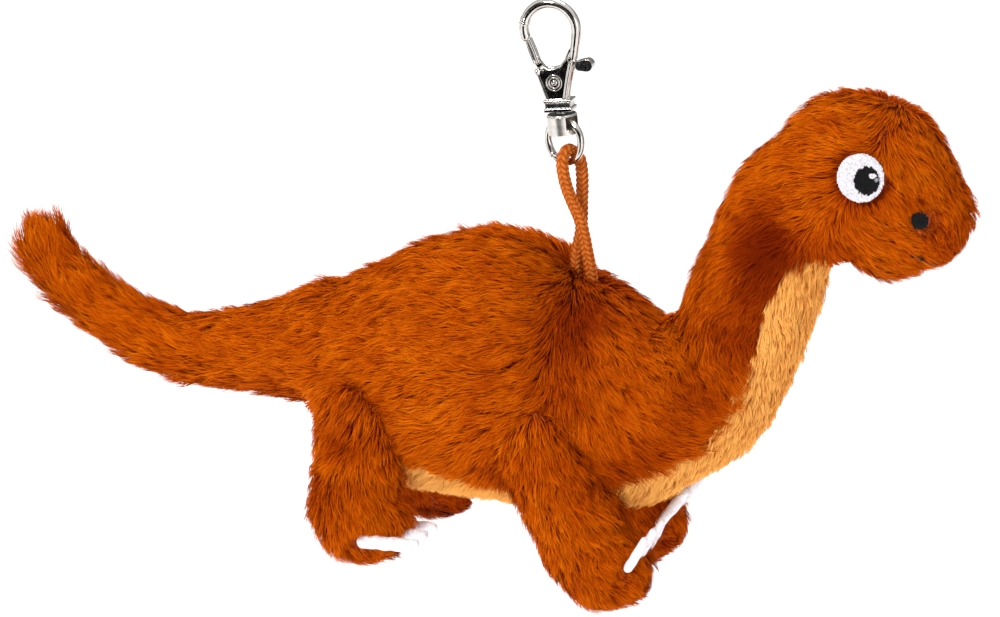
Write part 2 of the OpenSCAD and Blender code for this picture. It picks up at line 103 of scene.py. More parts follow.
# %% Camera
azimuth, elevation, lens, sensor, view_width = 17, 15, 300, 36, 200
a, e = math.radians(azimuth), math.radians(elevation)
toward = Vector((math.sin(a) * math.cos(e), -math.cos(a) * math.cos(e), math.sin(e)))
cam_right = Vector((math.cos(a), math.sin(a), 0))
cam_up = Vector((-math.sin(a) * math.sin(e), math.cos(a) * math.sin(e), math.cos(e)))
camera = bpy.data.objects.new("camera", bpy.data.cameras.new("camera"))
scene.collection.objects.link(camera)
scene.camera = camera
camera.data.lens, camera.data.sensor_width = lens, sensor
distance = lens / sensor * view_width * MM
aim = cam_right * (-9.5 * MM) + cam_up * (-59.5 * MM)
depth_mid = Vector((0, 0, -0.06)).dot(toward)
camera.location = aim + toward * (depth_mid + distance)
camera.rotation_mode = "QUATERNION"
camera.rotation_quaternion = (-toward).to_track_quat("-Z", "Y")
camera.data.clip_start, camera.data.clip_end = 0.01, 100
print("camera at", [round(v, 3) for v in camera.location])

# %% [markdown]
# ## Node helpers
# Shader maths reads better as Python, so a small class wraps a socket. Values add
# Math nodes, while vectors go through Vector Math, which keeps all three channels.


# %% Sockets as expressions
class Sock:
    def __init__(self, tree, out):
        self.tree, self.out = tree, out

    def node(self, kind, settings=None, stops=None, pick=0, **sockets):
        n = self.tree.nodes.new(kind)
        for key, value in (settings or {}).items():
            setattr(n, key, value)
        if stops:
            ramp = n.color_ramp
            while len(ramp.elements) < len(stops):
                ramp.elements.new(0.5)
            for el, (at, colour) in zip(ramp.elements, stops):
                el.position, el.color = at, (*colour, 1)
        for key, value in sockets.items():
            key = int(key[1:]) if key[0] == "_" and key[1:].isdigit() else key.replace("_", " ")
            sock = n.inputs[key]
            if isinstance(value, Sock):
                self.tree.links.new(value.out, sock)
            else:
                sock.default_value = value
        return Sock(self.tree, n.outputs[pick])

    def math(self, op, *values):
        return self.node("ShaderNodeMath", {"operation": op}, **{f"_{i}": v for i, v in enumerate(values)})

    def vec(self, op, other):
        return self.node("ShaderNodeVectorMath", {"operation": op}, _0=self, _1=other)

    def __add__(self, o): return self.math("ADD", self, o)
    def __radd__(self, o): return self.math("ADD", o, self)
    def __sub__(self, o): return self.math("SUBTRACT", self, o)
    def __rsub__(self, o): return self.math("SUBTRACT", o, self)
    def __mul__(self, o): return self.math("MULTIPLY", self, o)
    def __rmul__(self, o): return self.math("MULTIPLY", o, self)
    def __truediv__(self, o): return self.math("DIVIDE", self, o)

    def mix(self, low, high):
        return self.node("ShaderNodeMix", {"data_type": "RGBA"}, pick=2, _0=self, _6=low, _7=high)

    def ramp(self, *stops):
        return self.node("ShaderNodeValToRGB", stops=stops, Fac=self)


def material(name, **constants):
    m = bpy.data.materials.new(name)
    m.use_nodes = True
    shader = m.node_tree.nodes["Principled BSDF"]
    for key, value in constants.items():
        shader.inputs[key.replace("_", " ")].default_value = value
    return m, Sock(m.node_tree, None), shader


def feed(m, shader, **links):
    for key, value in links.items():
        m.node_tree.links.new(value.out, shader.inputs[key.replace("_", " ")])


def bump(s, height, distance, strength=1.0):
    return s.node("ShaderNodeBump", Height=height, Distance=distance, Strength=strength)


def rgb(*v):
    return (*v, 1.0)


# %% [markdown]
# ## Pile material
# Each strand carries two numbers in its UV map: u is how light its tuft is, and v runs
# from root to tip. Pile looks dark and saturated at the root, where little light gets in,
# and paler at the tip; one ramp on the pair paints that shade and light into the colour.


# %% Pile, satin thread, felt and cord materials
def pile_material(name, root, low, mid, tip, tone=0.42):
    m, s, shader = material(name, Roughness=0.7, Specular_IOR_Level=0.02)
    uv = s.node("ShaderNodeUVMap", {"uv_map": "strand"})
    split = s.node("ShaderNodeSeparateXYZ", Vector=uv)
    v = Sock(m.node_tree, split.out.node.outputs[1])
    mixed = v * (1 - tone) + split * tone
    feed(m, shader, Base_Color=mixed.ramp((0.0, root), (0.3, low), (0.6, mid), (1.0, tip)))
    return m


def thread_material(name, colour, sheen_tint, rough, sheen):
    m, s, shader = material(name, Roughness=rough, Sheen_Weight=sheen, Specular_IOR_Level=0.15)
    where = s.node("ShaderNodeTexCoord", pick=3)
    speckle = s.node("ShaderNodeTexNoise", Vector=where, Scale=2600.0, Detail=2.0)
    fine = s.node("ShaderNodeTexNoise", Vector=where, Scale=9000.0, Detail=1.0)
    feed(m, shader, Base_Color=speckle.ramp((0.3, sheen_tint), (0.62, colour)),
         Normal=bump(s, fine, 0.00004, 0.5))
    return m


brown_pile = pile_material("brown_pile", (0.15, 0.009, 0.0), (0.29, 0.029, 0.0),
                           (0.52, 0.078, 0.0), (0.82, 0.20, 0.003))
cream_pile = pile_material("cream_pile", (0.82, 0.34, 0.06), (0.90, 0.40, 0.08),
                           (0.94, 0.45, 0.10), (0.97, 0.53, 0.15))
# Both backing cloths are darker than their pile: painted shade, so gaps between tufts read as shadow.
cloth_mat, cs, csh = material("brown_backing", Roughness=0.9)
knit = cs.node("ShaderNodeTexNoise", Vector=cs.node("ShaderNodeTexCoord", pick=3), Scale=900.0)
feed(cloth_mat, csh, Base_Color=knit.ramp((0.3, (0.26, 0.028, 0.0)), (0.7, (0.36, 0.042, 0.0))),
     Normal=bump(cs, knit, 0.0002))
cream_cloth, cs, csh = material("cream_backing", Roughness=0.9)
knit = cs.node("ShaderNodeTexNoise", Vector=cs.node("ShaderNodeTexCoord", pick=3), Scale=900.0)
feed(cream_cloth, csh, Base_Color=knit.ramp((0.3, (0.7, 0.28, 0.06)), (0.7, (0.84, 0.38, 0.1))),
     Normal=bump(cs, knit, 0.0002))
thread_white = thread_material("white_thread", (0.78, 0.77, 0.80), (0.50, 0.45, 0.51), 0.6, 0.0)
thread_black = thread_material("black_thread", (0.002, 0.002, 0.002), (0.008, 0.008, 0.008), 0.6, 0.0)
thread_grey = thread_material("grey_thread", (0.34, 0.34, 0.35), (0.14, 0.14, 0.15), 0.5, 0.0)
fibre_mat, fs, fsh = material("stuffing_fibre", Roughness=0.95)
wisps = fs.node("ShaderNodeTexNoise", Vector=fs.node("ShaderNodeTexCoord", pick=3), Scale=400.0, Detail=8.0)
feed(fibre_mat, fsh, Base_Color=wisps.ramp((0.3, (0.7, 0.7, 0.68)), (0.7, (0.9, 0.9, 0.88))),
     Normal=bump(fs, wisps, 0.0004))

# The grey end of the claws' ramp is painted shade, laid in random patches by two noises.
claw_mat, cs, csh = material("claw_felt", Roughness=0.85, Sheen_Weight=0.4)
where = cs.node("ShaderNodeTexCoord", pick=3)
nap = cs.node("ShaderNodeTexNoise", Vector=where, Scale=1500.0, Detail=6.0)
painted_shade_patches = cs.node("ShaderNodeTexNoise", Vector=where, Scale=260.0, Detail=3.0)
feed(claw_mat, csh,
     Base_Color=(nap * 0.5 + painted_shade_patches * 0.5).ramp((0.34, (0.62, 0.56, 0.60)), (0.55, (0.86, 0.83, 0.86))),
     Normal=bump(cs, nap, 0.00025))

# The cord's colour follows the braid's relief, v in its UV map: darker in the sunk grooves and paler on the
# raised stitches, painted shade and painted highlight.
cord_mat, cs, csh = material("braided_cord", Roughness=0.75, Specular_IOR_Level=0.2)
uv = cs.node("ShaderNodeUVMap", {"uv_map": "strand"})
split = cs.node("ShaderNodeSeparateXYZ", Vector=uv)
rise = Sock(cord_mat.node_tree, split.out.node.outputs[1])
fine = cs.node("ShaderNodeTexNoise", Vector=cs.node("ShaderNodeTexCoord", pick=3), Scale=3200.0, Detail=4.0)
feed(cord_mat, csh, Base_Color=(rise * 0.45 + fine * 0.55).ramp(
    (0.12, (0.20, 0.026, 0.001)), (0.42, (0.42, 0.085, 0.005)), (0.8, (0.70, 0.20, 0.022))),
     Normal=bump(cs, fine, 0.00008))
print("materials", len(bpy.data.materials))


# %% [markdown]
# ## Metal
# Nickel plate is bright and slightly warm. It shows the studio round it, so most of
# its look comes from the light; the shader adds fine casting waves, and the swivel gets
# turning marks that run round it.


# %% Nickel, darker nickel for painted shade, brushed nickel, spring wire
def metal(name, colour, rough, waves=0.0, wave_scale=300.0):
    m, s, shader = material(name, Metallic=1.0, Roughness=rough)
    where = s.node("ShaderNodeTexCoord", pick=3)
    cast = s.node("ShaderNodeTexNoise", Vector=where, Scale=wave_scale, Detail=4.0)
    smear = s.node("ShaderNodeTexNoise", Vector=where, Scale=700.0, Detail=3.0)
    dull = tuple(c * 0.82 for c in colour)
    feed(m, shader, Base_Color=smear.ramp((0.35, dull), (0.65, colour)),
         Roughness=smear * 0.16 + (rough - 0.06), Normal=bump(s, cast, waves))
    return m


nickel = metal("nickel", (0.60, 0.57, 0.53), 0.1, 0.00004)
# Two darker copies of the nickel are painted shade: nickel_shadow for the barrel's top under the collar, and
# the next for sunk faces of the casting and the gate.
nickel_shadow = metal("nickel_shadow", (0.035, 0.032, 0.028), 0.45, 0.0001)
nickel_painted_shade = metal("nickel_recess_painted_shade", (0.16, 0.16, 0.17), 0.2, 0.00010, 1500.0)
spring_steel = metal("spring_steel", (0.42, 0.42, 0.43), 0.3, 0.00003)
brushed, bs, bsh = material("brushed_nickel", Metallic=1.0)
where = bs.node("ShaderNodeTexCoord", pick=3)
streaks = bs.node("ShaderNodeTexNoise",
                  Vector=bs.node("ShaderNodeMapping", Vector=where, Scale=(40.0, 40.0, 5200.0)),
                  Scale=1.0, Detail=5.0)
feed(brushed, bsh, Base_Color=streaks.ramp((0.3, (0.58, 0.55, 0.51)), (0.7, (0.74, 0.71, 0.66))),
     Roughness=streaks * 0.2 + 0.22, Normal=bump(bs, streaks, 0.00004))
print("metals done")

# %% [markdown]
# ## Shapes
# Cast and stamped parts are built from tubes and slabs that overlap. A voxel remesh
# melts them into one skin and a light smoothing rounds the corners, much as plating
# and tumbling do on the real part.


# %% Mesh helpers
def gathered(items, what):
    """A mesh's per-item vectors, such as vertex places, as an array with three columns."""
    flat = np.zeros(len(items) * 3)
    items.foreach_get(what, flat)
    return flat.reshape(-1, 3)


def linked(name, mesh):
    obj = bpy.data.objects.new(name, mesh)
    scene.collection.objects.link(obj)
    return obj


def swept_faces(rings, sides):
    """Quads between one ring and the next, and a cap at each end."""
    faces = [(i * sides + k, i * sides + (k + 1) % sides, (i + 1) * sides + (k + 1) % sides, (i + 1) * sides
              + k)
             for i in range(rings - 1) for k in range(sides)]
    return faces + [tuple(range(sides))[::-1], tuple(range((rings - 1) * sides, rings * sides))]


def mesh_object(name, verts, faces, mat, body, smooth=True):
    mesh = bpy.data.meshes.new(name)
    mesh.from_pydata([tuple(v) for v in verts], [], [tuple(f) for f in faces])
    mesh.update()
    obj = linked(name, mesh)
    for m in (mat if isinstance(mat, list) else [mat]):
        mesh.materials.append(m)
    if smooth:
        mesh.polygons.foreach_set("use_smooth", [True] * len(mesh.polygons))
    if body:
        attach(obj, body)
    return obj


def tube(points, radii, sides=20, caps=True):
    points = np.asarray(points, float)
    radii = np.broadcast_to(np.asarray(radii, float), len(points)).copy()
    if caps:
        first, last = points[0] - points[1], points[-1] - points[-2]
        first, last = first / np.linalg.norm(first), last / np.linalg.norm(last)
        turn = np.radians([80, 60, 40, 20])
        head = [points[0] + first * radii[0] * math.sin(t) for t in turn]
        tail = [points[-1] + last * radii[-1] * math.sin(t) for t in turn[::-1]]
        points = np.concatenate([head, points, tail])
        radii = np.concatenate([radii[0] * np.cos(turn), radii, radii[-1] * np.cos(turn[::-1])])
    along = np.gradient(points, axis=0)
    along /= np.linalg.norm(along, axis=1)[:, None]
    side = np.array([0, 1.0, 0]) if abs(along[0][1]) < 0.9 else np.array([1.0, 0, 0])
    ring, verts = np.linspace(0, 2 * math.pi, sides, endpoint=False), []
    for p, t, r in zip(points, along, radii):
        side = side - t * side.dot(t)
        side /= np.linalg.norm(side)
        up = np.cross(t, side)
        verts += [p + r * (math.cos(k) * side + math.sin(k) * up) for k in ring]
    return verts, swept_faces(len(points), sides)


def slab(outline, y_low, y_high):
    n = len(outline)
    verts = [(x, y_low, z) for x, z in outline] + [(x, y_high, z) for x, z in outline]
    faces = [tuple(range(n)), tuple(range(n, 2 * n))[::-1]]
    faces += [(i, (i + 1) % n, n + (i + 1) % n, n + i)[::-1] for i in range(n)]
    return verts, faces


def joined(parts):
    verts, faces = [], []
    for v, f in parts:
        base = len(verts)
        verts += list(v)
        faces += [tuple(i + base for i in face) for face in f]
    return verts, faces


def applied(obj, name):
    dg = bpy.context.evaluated_depsgraph_get()
    mesh = bpy.data.meshes.new_from_object(obj.evaluated_get(dg))
    mesh.name = name
    bpy.data.objects.remove(obj)
    return mesh


def melted(name, parts, voxel, rounds, mat, body, world=clasp_to_world, scale=1.0):
    verts, faces = joined(parts)
    rough = mesh_object(name + "_rough", np.asarray(verts) * scale, faces, mat, None)
    remesh = rough.modifiers.new("melt", "REMESH")
    remesh.mode, remesh.voxel_size, remesh.use_smooth_shade = "VOXEL", voxel * scale, True
    soften = rough.modifiers.new("soften", "SMOOTH")
    soften.factor, soften.iterations = 0.5, rounds
    mesh = applied(rough, name)
    mesh.vertices.foreach_set("co", world(gathered(mesh.vertices, "co") / scale).ravel())
    mesh.materials.clear()
    for m in (mat if isinstance(mat, list) else [mat]):
        mesh.materials.append(m)
    obj = linked(name, mesh)
    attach(obj, body)
    print(name, "faces", len(mesh.polygons))
    return obj


def arc(centre, r, start, stop, steps):
    return [(centre[0] + r * math.cos(math.radians(t)), 0, centre[1] + r * math.sin(math.radians(t)))
            for t in np.linspace(start, stop, steps)]


def smooth_line(points, steps=8):
    p = np.asarray(points, float)
    out = []
    for i in range(len(p) - 1):
        p0, p1, p2, p3 = p[max(i - 1, 0)], p[i], p[i + 1], p[min(i + 2, len(p) - 1)]
        for t in np.arange(steps) / steps:
            out.append(0.5 * (2 * p1 + (p2 - p0) * t + (2 * p0 - 5 * p1 + 4 * p2 - p3) * t * t
                              + (3 * p1 - p0 - 3 * p2 + p3) * t ** 3))
    return np.array(out + [p[-1]])


# %% [markdown]
# ## Hook, plate and collar
# One zinc casting. The wire swells into a flat plate whose faces are sunk between
# bright raised rims, and a grooved collar closes it below. The sunk faces get painted shade.

# %% Hook frame
hook_r, hook_z = 5.4, -4.35
knuckle, arm_low = (-3.3, 0, -12.5), (1.9, 0, -18.3)
hook_line = arc((0, hook_z), hook_r, 193, -14, 44)
arm_line = smooth_line([hook_line[-1], (4.75, 0, -7.9), (4.15, 0, -10.2), (3.4, 0, -12.6), (2.55, 0, -15.6),
                        arm_low], 6)
whole = np.concatenate([np.array(hook_line), arm_line[1:]])
swell = np.interp(np.linspace(0, 1, len(whole)), [0, 0.5, 0.62, 0.75, 1], [1.02, 1.05, 1.0, 0.86, 0.6])
left_rim = smooth_line([knuckle, (-2.85, 0, -14.2), (-2.3, 0, -16.2), (-1.75, 0, -18.3)], 6)
mouth_rim = smooth_line([knuckle, (-2.35, 0, -11.9), (-1.3, 0, -12.3), (0.1, 0, -12.35), (1.5, 0, -11.9),
                         (2.7, 0, -10.6), (3.75, 0, -8.6)], 6)
plate = [(-2.9, -12.6), (-1.3, -12.2), (0.2, -12.3), (1.6, -11.8), (3.3, -9.9), (3.6, -11.5), (2.5, -15.6),
         (1.9, -18.4), (-1.7, -18.4), (-2.3, -16.2)]
casting = [tube(whole, swell, 24)]
for side in (-1, 1):
    shift = np.array([0, side * 1.12, 0])
    casting.append(tube(left_rim + shift, 0.42))
    inward = np.interp(np.linspace(0, 1, len(mouth_rim)), [0, 0.6, 1], [0.95, 0.9, 0.3])[:, None]
    casting.append(tube(mouth_rim + shift * inward,
                        np.interp(np.linspace(0, 1, len(mouth_rim)), [0, 0.5, 1], [0.42, 0.44, 0.34])))
    casting.append(tube(arm_line[14:] + shift, 0.42))
    casting.append(slab(plate, *sorted((side * 1.1, side * 1.4))))
    casting.append(tube([np.array(knuckle) + shift * 0.9, np.array(knuckle) + shift * 1.02], 0.62))
for t in (164, 159, 154):
    notch = arc((0, hook_z), hook_r, t - 1.1, t + 1.1, 3)
    casting.append(tube(notch, 1.14, 24, caps=False))
half_w, half_t, top_z, low_z = 2.9, 1.95, -18.35, -20.8
for z0, z1, grow in ((top_z - 0.55, top_z, 0.0), (top_z - 1.8, top_z - 0.5, -0.28),
                     (low_z, low_z + 0.7, 0.02)):
    w, d = half_w + grow, half_t + grow
    casting.append(slab([(0.3 - w, z0), (0.3 + w, z0), (0.3 + w, z1), (0.3 - w, z1)], -d, d))
hook = melted("hook_casting", casting, 0.115, 3, [nickel, nickel_painted_shade], "hook")

# %% [markdown]
# The painted shade, a darker nickel, goes only on faces that are sunk: those of the plate
# between the rims, and the collar's groove. A second material slot on those faces is enough.


# %% Darken the sunk faces with painted shade
def paint_faces(obj, picks):
    mesh = obj.data
    c, n = gathered(mesh.polygons, "center") / MM, gathered(mesh.polygons, "normal")
    x = c[:, 0] * math.cos(lean) + c[:, 2] * math.sin(lean)
    z = -c[:, 0] * math.sin(lean) + c[:, 2] * math.cos(lean)
    chosen = picks(x, c[:, 1], z, n)
    mesh.polygons.foreach_set("material_index", chosen.astype(np.int32))
    print(obj.name, "dark faces", int(chosen.sum()))


paint_faces(hook, lambda x, y, z,
            n: ((z < -11.6) & (z > -18.3) & (np.abs(y) < 1.4) & (np.abs(y) > 1.2)
                & (np.abs(n[:, 1]) > 0.9)) | ((z < -18.95) & (z > -20.05) & (np.abs(y) > 1.5)
                                              & (np.abs(n[:, 1]) > 0.8)))
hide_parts("hook_frame")

# %% [markdown]
# ## Gate lever
# A folded stamping: two bright edges with a sunk lens between them close the mouth, a
# web turns on the rivet, and a rounded tab sticks out for the thumb.

# %% Gate lever
tip, foot = np.array([-4.75, 0, -6.1]), np.array([-3.45, 0, -10.75])
across = np.array([0.96, 0, 0.27])
left_edge = smooth_line([tip - across * 0.42, (tip + foot) / 2 - across * 0.6, foot - across * 0.52], 6)
right_edge = smooth_line([tip + across * 0.3, (tip + foot) / 2 + across * 0.42, foot + across * 0.34], 6)
lever = [tube([tip + (0.02, 0, -0.1), foot], [0.44, 0.5])]
for side in (-1, 1):
    for edge, r in ((left_edge, 0.2), (right_edge, 0.38)):
        lever.append(tube(edge + np.array([0, side * 0.52, 0]), r, 14))
lever.append(slab([(-4.3, -10.2), (-3.0, -10.0), (-1.2, -12.6), (0.8, -13.2), (4.2, -10.9), (4.4, -12.4),
                   (1.9, -15.4), (0, -16.9), (-1.6, -16.2), (-2.6, -13.6)], -0.5, 0.5))
tab_z = -11.75
lever.append(tube([(4.4, 0, tab_z), (6.9, 0, tab_z)], [0.5, 0.5]))
pill_ends = ((6.95, 1.28, np.linspace(-1.57, 1.57, 14)), (5.5, 1.05, np.linspace(1.57, 4.71, 10)))
pill = [(x + math.cos(t) * r, tab_z + math.sin(t) * r) for x, r, ts in pill_ends for t in ts]
lever.append(slab(pill, -1.15, 1.15))
gate = melted("gate_stamping", lever, 0.09, 4, [nickel, nickel_painted_shade], "gate")
# The sunk lens and the flat faces of the thumb tab take the darker nickel: painted shade.
paint_faces(gate, lambda x, y, z,
            n: ((z > -10.3) & (z < -6.3) & (np.abs(y) < 0.66) & (np.abs(n[:, 1]) > 0.75))
            | ((x > 5.0) & (np.abs(y) > 1.0) & (np.abs(n[:, 1]) > 0.9)))
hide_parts("gate_lever")


# %% [markdown]
# ## Rivet, swivel and ring
# Small turned parts. The rivet is hollow with rolled rims, so it is a turned profile.
# The barrel and its post already have the right shape, so a finely melted copy only
# rounds their edges. The jump ring is round wire with its cut ends just meeting.


# %% Turned and melted small parts
def turned(profile, steps=40):
    ring = np.linspace(0, 2 * math.pi, steps, endpoint=False)
    verts = [(r * math.cos(t), y, r * math.sin(t)) for r, y in profile for t in ring]
    n = len(profile)
    faces = [(i * steps + k, i * steps + (k + 1) % steps, ((i + 1) % n) * steps + (k + 1) % steps,
              ((i + 1) % n) * steps + k)
             for i in range(n) for k in range(steps)]
    return verts, faces


profile = [
    (0.001, 1.62), (0.4, 1.6), (0.6, 1.5), (0.7, 1.3), (0.82, 1.32), (0.92, 1.56), (1.05, 1.64), (1.18, 1.56),
    (1.28, 1.34), (1.4, 1.34), (1.48, 1.5), (1.58, 1.55), (1.68, 1.48), (1.73, 1.3), (1.7, 1.15), (1.08, 1.1),
    (1.08, 0),
]
profile += [(r, -y) for r, y in reversed([p for p in profile if p[1] > 0])]
verts, faces = turned(profile)
pivot = np.array([0, 0, -14.9])
rivet = mesh_object("hollow_rivet", clasp_to_world(np.array(verts) + pivot), faces, nickel, "hook")
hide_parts("gate_rivet")


def node_mesh(node):
    mesh = frame["nodes"][node].data
    return gathered(mesh.vertices, "co"), [tuple(p.vertices) for p in mesh.polygons]


# The barrel's flat top takes nickel_shadow: painted shade under the collar.
for node, piece, voxel, mat, slot in (("swivel_barrel", "swivel_barrel_turned", 0.075, brushed,
                                       "nickel_brushed"),
                                      ("swivel_post", "swivel_post_turned", 0.06, brushed,
                                       "nickel_brushed")):
    verts, faces = node_mesh(node)
    part = melted(piece, [(verts / MM, faces)], voxel, 3, [mat, nickel_shadow], "swivel", world=lambda p: p
                  * MM)
    if node == "swivel_barrel":
        paint_faces(part, lambda x, y, z, n: (n[:, 2] > 0.85) & (z > z.max() - 0.5))
    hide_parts(node)

gap, wire = math.radians(1.2), 0.75 * MM
spin = np.linspace(math.radians(-128) + gap, math.radians(232) - gap, 97)
ring_pts = ring_centre + ring_r * (np.cos(spin)[:, None] * ring_across + np.sin(spin)[:, None]
                                   * np.array([0, 0, 1]))
verts, faces = tube(ring_pts, wire, 24, caps=False)
ring = mesh_object("jump_ring_wire", verts, faces, nickel, "ring")
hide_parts("jump_ring")
for node, mat in (("gate_spring", spring_steel), ("loop_tack", thread_black)):
    frame["nodes"][node].data.materials.clear()
    frame["nodes"][node].data.materials.append(mat)
print("clasp done")

# %% [markdown]
# ## Braided cord
# The loop is one length of round braid. It leaves the back, rises in front, passes
# through the jump ring, and goes back down behind. A braid shows columns of stacked Vs,
# so the tube's skin is raised and sunk in that pattern as it is swept along the route.

# %% Sweep the braid along its route
route_mm = [
    (5.2, 0.2, -30), (5.1, 0.1, -27), (4.9, 0, -24.5), (4.6, -0.2, -21.5), (4, -0.5, -18),
    (3.4, -0.8, -14.5), (2.5, -1.1, -11), (1.3, -1.5, -8), (0.3, -2.1, -5), (-0.4, -2.4, -2),
    (-0.7, -2.2, 0.3), (-0.6, -1.2, 1.9), (-0.1, 0.3, 2.4), (0.7, 1.8, 1.6), (1.6, 2.4, 0),
    (2, 2.5, -2.5), (2.1, 2.4, -5.5), (2.1, 2.2, -8.5), (2.1, 2.1, -11.5), (2, 2, -14.5),
    (1.5, 1.7, -17.5), (1.1, 1.3, -21), (1, 0.9, -24.5), (1, 0.7, -27), (1.1, 0.6, -30),
]
cord_line = smooth_line(np.array(route_mm) * MM + wire_point, 20)
steps_along = np.linalg.norm(np.diff(cord_line, axis=0), axis=1)
cord_at = np.concatenate([[0], np.cumsum(steps_along)])
cord_length = float(cord_at[-1])
even = np.linspace(0, cord_length, 560)
cord_line = np.stack([np.interp(even, cord_at, cord_line[:, i]) for i in range(3)], 1)


def braid(points, at, radius, columns=6, pitch=1.1 * MM, sides=60, depth=0.17):
    along = np.gradient(points, axis=0)
    along /= np.linalg.norm(along, axis=1)[:, None]
    side, verts, height, noise = np.array([0, 1.0, 0]), [], [], np.random.default_rng(5)
    turn = np.linspace(0, 1, sides, endpoint=False)
    for p, t, s in zip(points, along, at):
        side = side - t * side.dot(t)
        side /= np.linalg.norm(side)
        up = np.cross(t, side)
        column = np.floor(turn * columns)
        u = ((turn * columns) % 1 - 0.5) * 2
        slant = np.where(column % 2 == 0, 0.42, -0.42)
        wave = 0.5 + 0.5 * np.cos(2 * math.pi * (s / pitch - slant * u))
        lift = wave ** 0.6 * np.sqrt(np.clip(1 - 0.92 * u ** 2, 0, 1)) * noise.uniform(0.85, 1.0, sides)
        r = radius * (1 - depth + depth * 1.25 * lift)
        verts += list(p + r[:, None]
                      * (np.cos(2 * math.pi * turn)[:, None] * side + np.sin(2 * math.pi * turn)[:, None]
                         * up))
        height += list(lift)
    return np.array(verts), swept_faces(len(points), sides), np.array(height)


def set_strand_uv(mesh, u, v):
    loops = np.zeros(len(mesh.loops), np.int32)
    mesh.loops.foreach_get("vertex_index", loops)
    layer = mesh.uv_layers.new(name="strand")
    layer.data.foreach_set("uv", np.stack([u[loops], v[loops]], 1).ravel())


verts, faces, height = braid(cord_line, even, 1.28 * MM)
cord = mesh_object("braided_cord", verts, faces, cord_mat, "plush")
set_strand_uv(cord.data, np.full(len(verts), 0.5), height)
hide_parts("cord_loop")
print("cord length mm", round(cord_length / MM, 1))

# %% [markdown]
# ## The stuffed body under the pile
# The filling's solids are joined and melted at under a millimetre, smoothed, and grown
# to the fabric's back. That gives one soft, rounded form that the pile can grow from.
# Darts and the pull of the cord are pressed in as soft dents.


# %% Melt the filling into a backing surface
def backing(name, nodes, voxel, rounds, grown):
    parts = []
    for node in nodes:
        verts, faces = node_mesh(node)
        parts.append((verts / MM, faces))
    verts, faces = joined(parts)
    rough = mesh_object(name + "_rough", verts, faces, cloth_mat, None)
    remesh = rough.modifiers.new("melt", "REMESH")
    remesh.mode, remesh.voxel_size = "VOXEL", voxel
    soften = rough.modifiers.new("soften", "SMOOTH")
    soften.factor, soften.iterations = 0.5, rounds
    mesh = applied(rough, name)
    co = gathered(mesh.vertices, "co") + gathered(mesh.vertex_normals, "vector") * grown
    mesh.vertices.foreach_set("co", (co * MM).ravel())
    mesh.update()
    print(name, "verts", len(co))
    return mesh


swells = [  # x, z, reach, then the push in x and z
    (47, 36, 9, -1.2, 1.3), (37, 25, 8, -1.4, 1.0), (31, 16, 6, -0.8, 0.2), (50, 6, 5, -0.9,
        0.5), (80, 13, 6, -1.0, 0.5),
    (65, 9, 7, 0.0, -1.8), (31, -34, 8, 0.7, -0.9), (-17, 7, 8, 0.0, 1.9), (-3, 5, 5, 0.0,
        -0.6), (18, -5, 6, -0.2, -1.1), (-43, 0, 9, 0.3, -0.9),
    (-85, -17, 24, -0.3, -0.8), (-55, -38, 6, 1.0, 0.0), (-51, -52, 7, -0.8, -0.3), (14, -62, 8, -0.3,
        0.8), (24, -56, 8, -1.1, 0.3),
]
darts = [((-40.5, -27), (-40, -39), 1.6, 1.5), ((-9.5, -36), (-7.5, -41), 1.5, 1.8),
         ((0.5, -4), (2.5, -16), 1.6, 4.5)]


def dent(mesh, spots):
    co, no = gathered(mesh.vertices, "co"), gathered(mesh.vertex_normals, "vector")
    p = (co - back) / MM
    for cx, cz, reach, dx, dz in swells:
        near = np.exp(-((p[:, 0] - cx) ** 2 + (p[:, 2] - cz) ** 2) / reach ** 2)
        co += near[:, None] * np.array([dx, 0, dz]) * MM
    for (ax, az), (bx, bz), depth, spread in spots:
        q = p[:, [0, 2]] - (ax, az)
        run = np.array([bx - ax, bz - az])
        t = np.clip(q @ run / (run @ run), 0, 1)
        d = np.linalg.norm(q - t[:, None] * run, axis=1)
        on_side = np.clip(np.abs(no[:, 1]) * 2, 0, 1)
        co -= no * (depth * np.exp(-(d / spread) ** 2) * on_side)[:, None] * MM
    pull = np.linalg.norm((p - (1.5, 0, -1.0)) / (4.5, 5.5, 6.0), axis=1)
    co -= no * (1.6 * np.exp(-pull ** 2))[:, None] * MM
    mesh.vertices.foreach_set("co", co.ravel())
    mesh.update()


trunk = backing("trunk_backing", ["stuffing_tail", "stuffing_torso", "stuffing_neck", "stuffing_head"], 0.9,
                14, 0.9)
dent(trunk, darts)
limbs = {}
for end in ("front", "hind"):
    for side in ("right", "left"):
        limbs[end, side] = backing(f"leg_{end}_{side}_backing", [f"stuffing_{end}_{side}"], 0.8, 8, 0.9)
        dent(limbs[end, side], [])

# %% [markdown]
# ## Which cloth is where
# Two brown side panels meet along the back; a cream gusset runs from the throat to
# between the hind legs. The seam between them is a line in the side view.

# %% Seam line and panels
seam_mm = np.array([(48.1, 10.2), (42.4, -0.4), (40.7, -7.5), (37.7, -14.5), (35, -21.4), (28.6, -31.7),
                    (15.8, -36.3),
                    (8.3, -39.1), (-15.3, -40.9), (-28, -37.2), (-40, -34.9), (-52, -47.9)])


def seam_side(p):
    """Positive above the seam, in millimetres, for toy-frame points."""
    x, z = p[:, 0], p[:, 2]
    best, sign = np.full(len(p), 1e9), np.ones(len(p))
    for (ax, az), (bx, bz) in zip(seam_mm[:-1], seam_mm[1:]):
        run = np.array([bx - ax, bz - az])
        qx, qz = x - ax, z - az
        t = np.clip((qx * run[0] + qz * run[1]) / (run @ run), 0, 1)
        dx, dz = qx - t * run[0], qz - t * run[1]
        d = np.hypot(dx, dz)
        cross = run[0] * qz - run[1] * qx
        better = d < best
        best = np.where(better, d, best)
        sign = np.where(better, np.where(cross > 0, -1.0, 1.0), sign)
    head = ((x > 44) & (z > 9.5)) | (x > 53)
    tail = x < -52
    return np.where(head | tail, 9.0, best * sign)


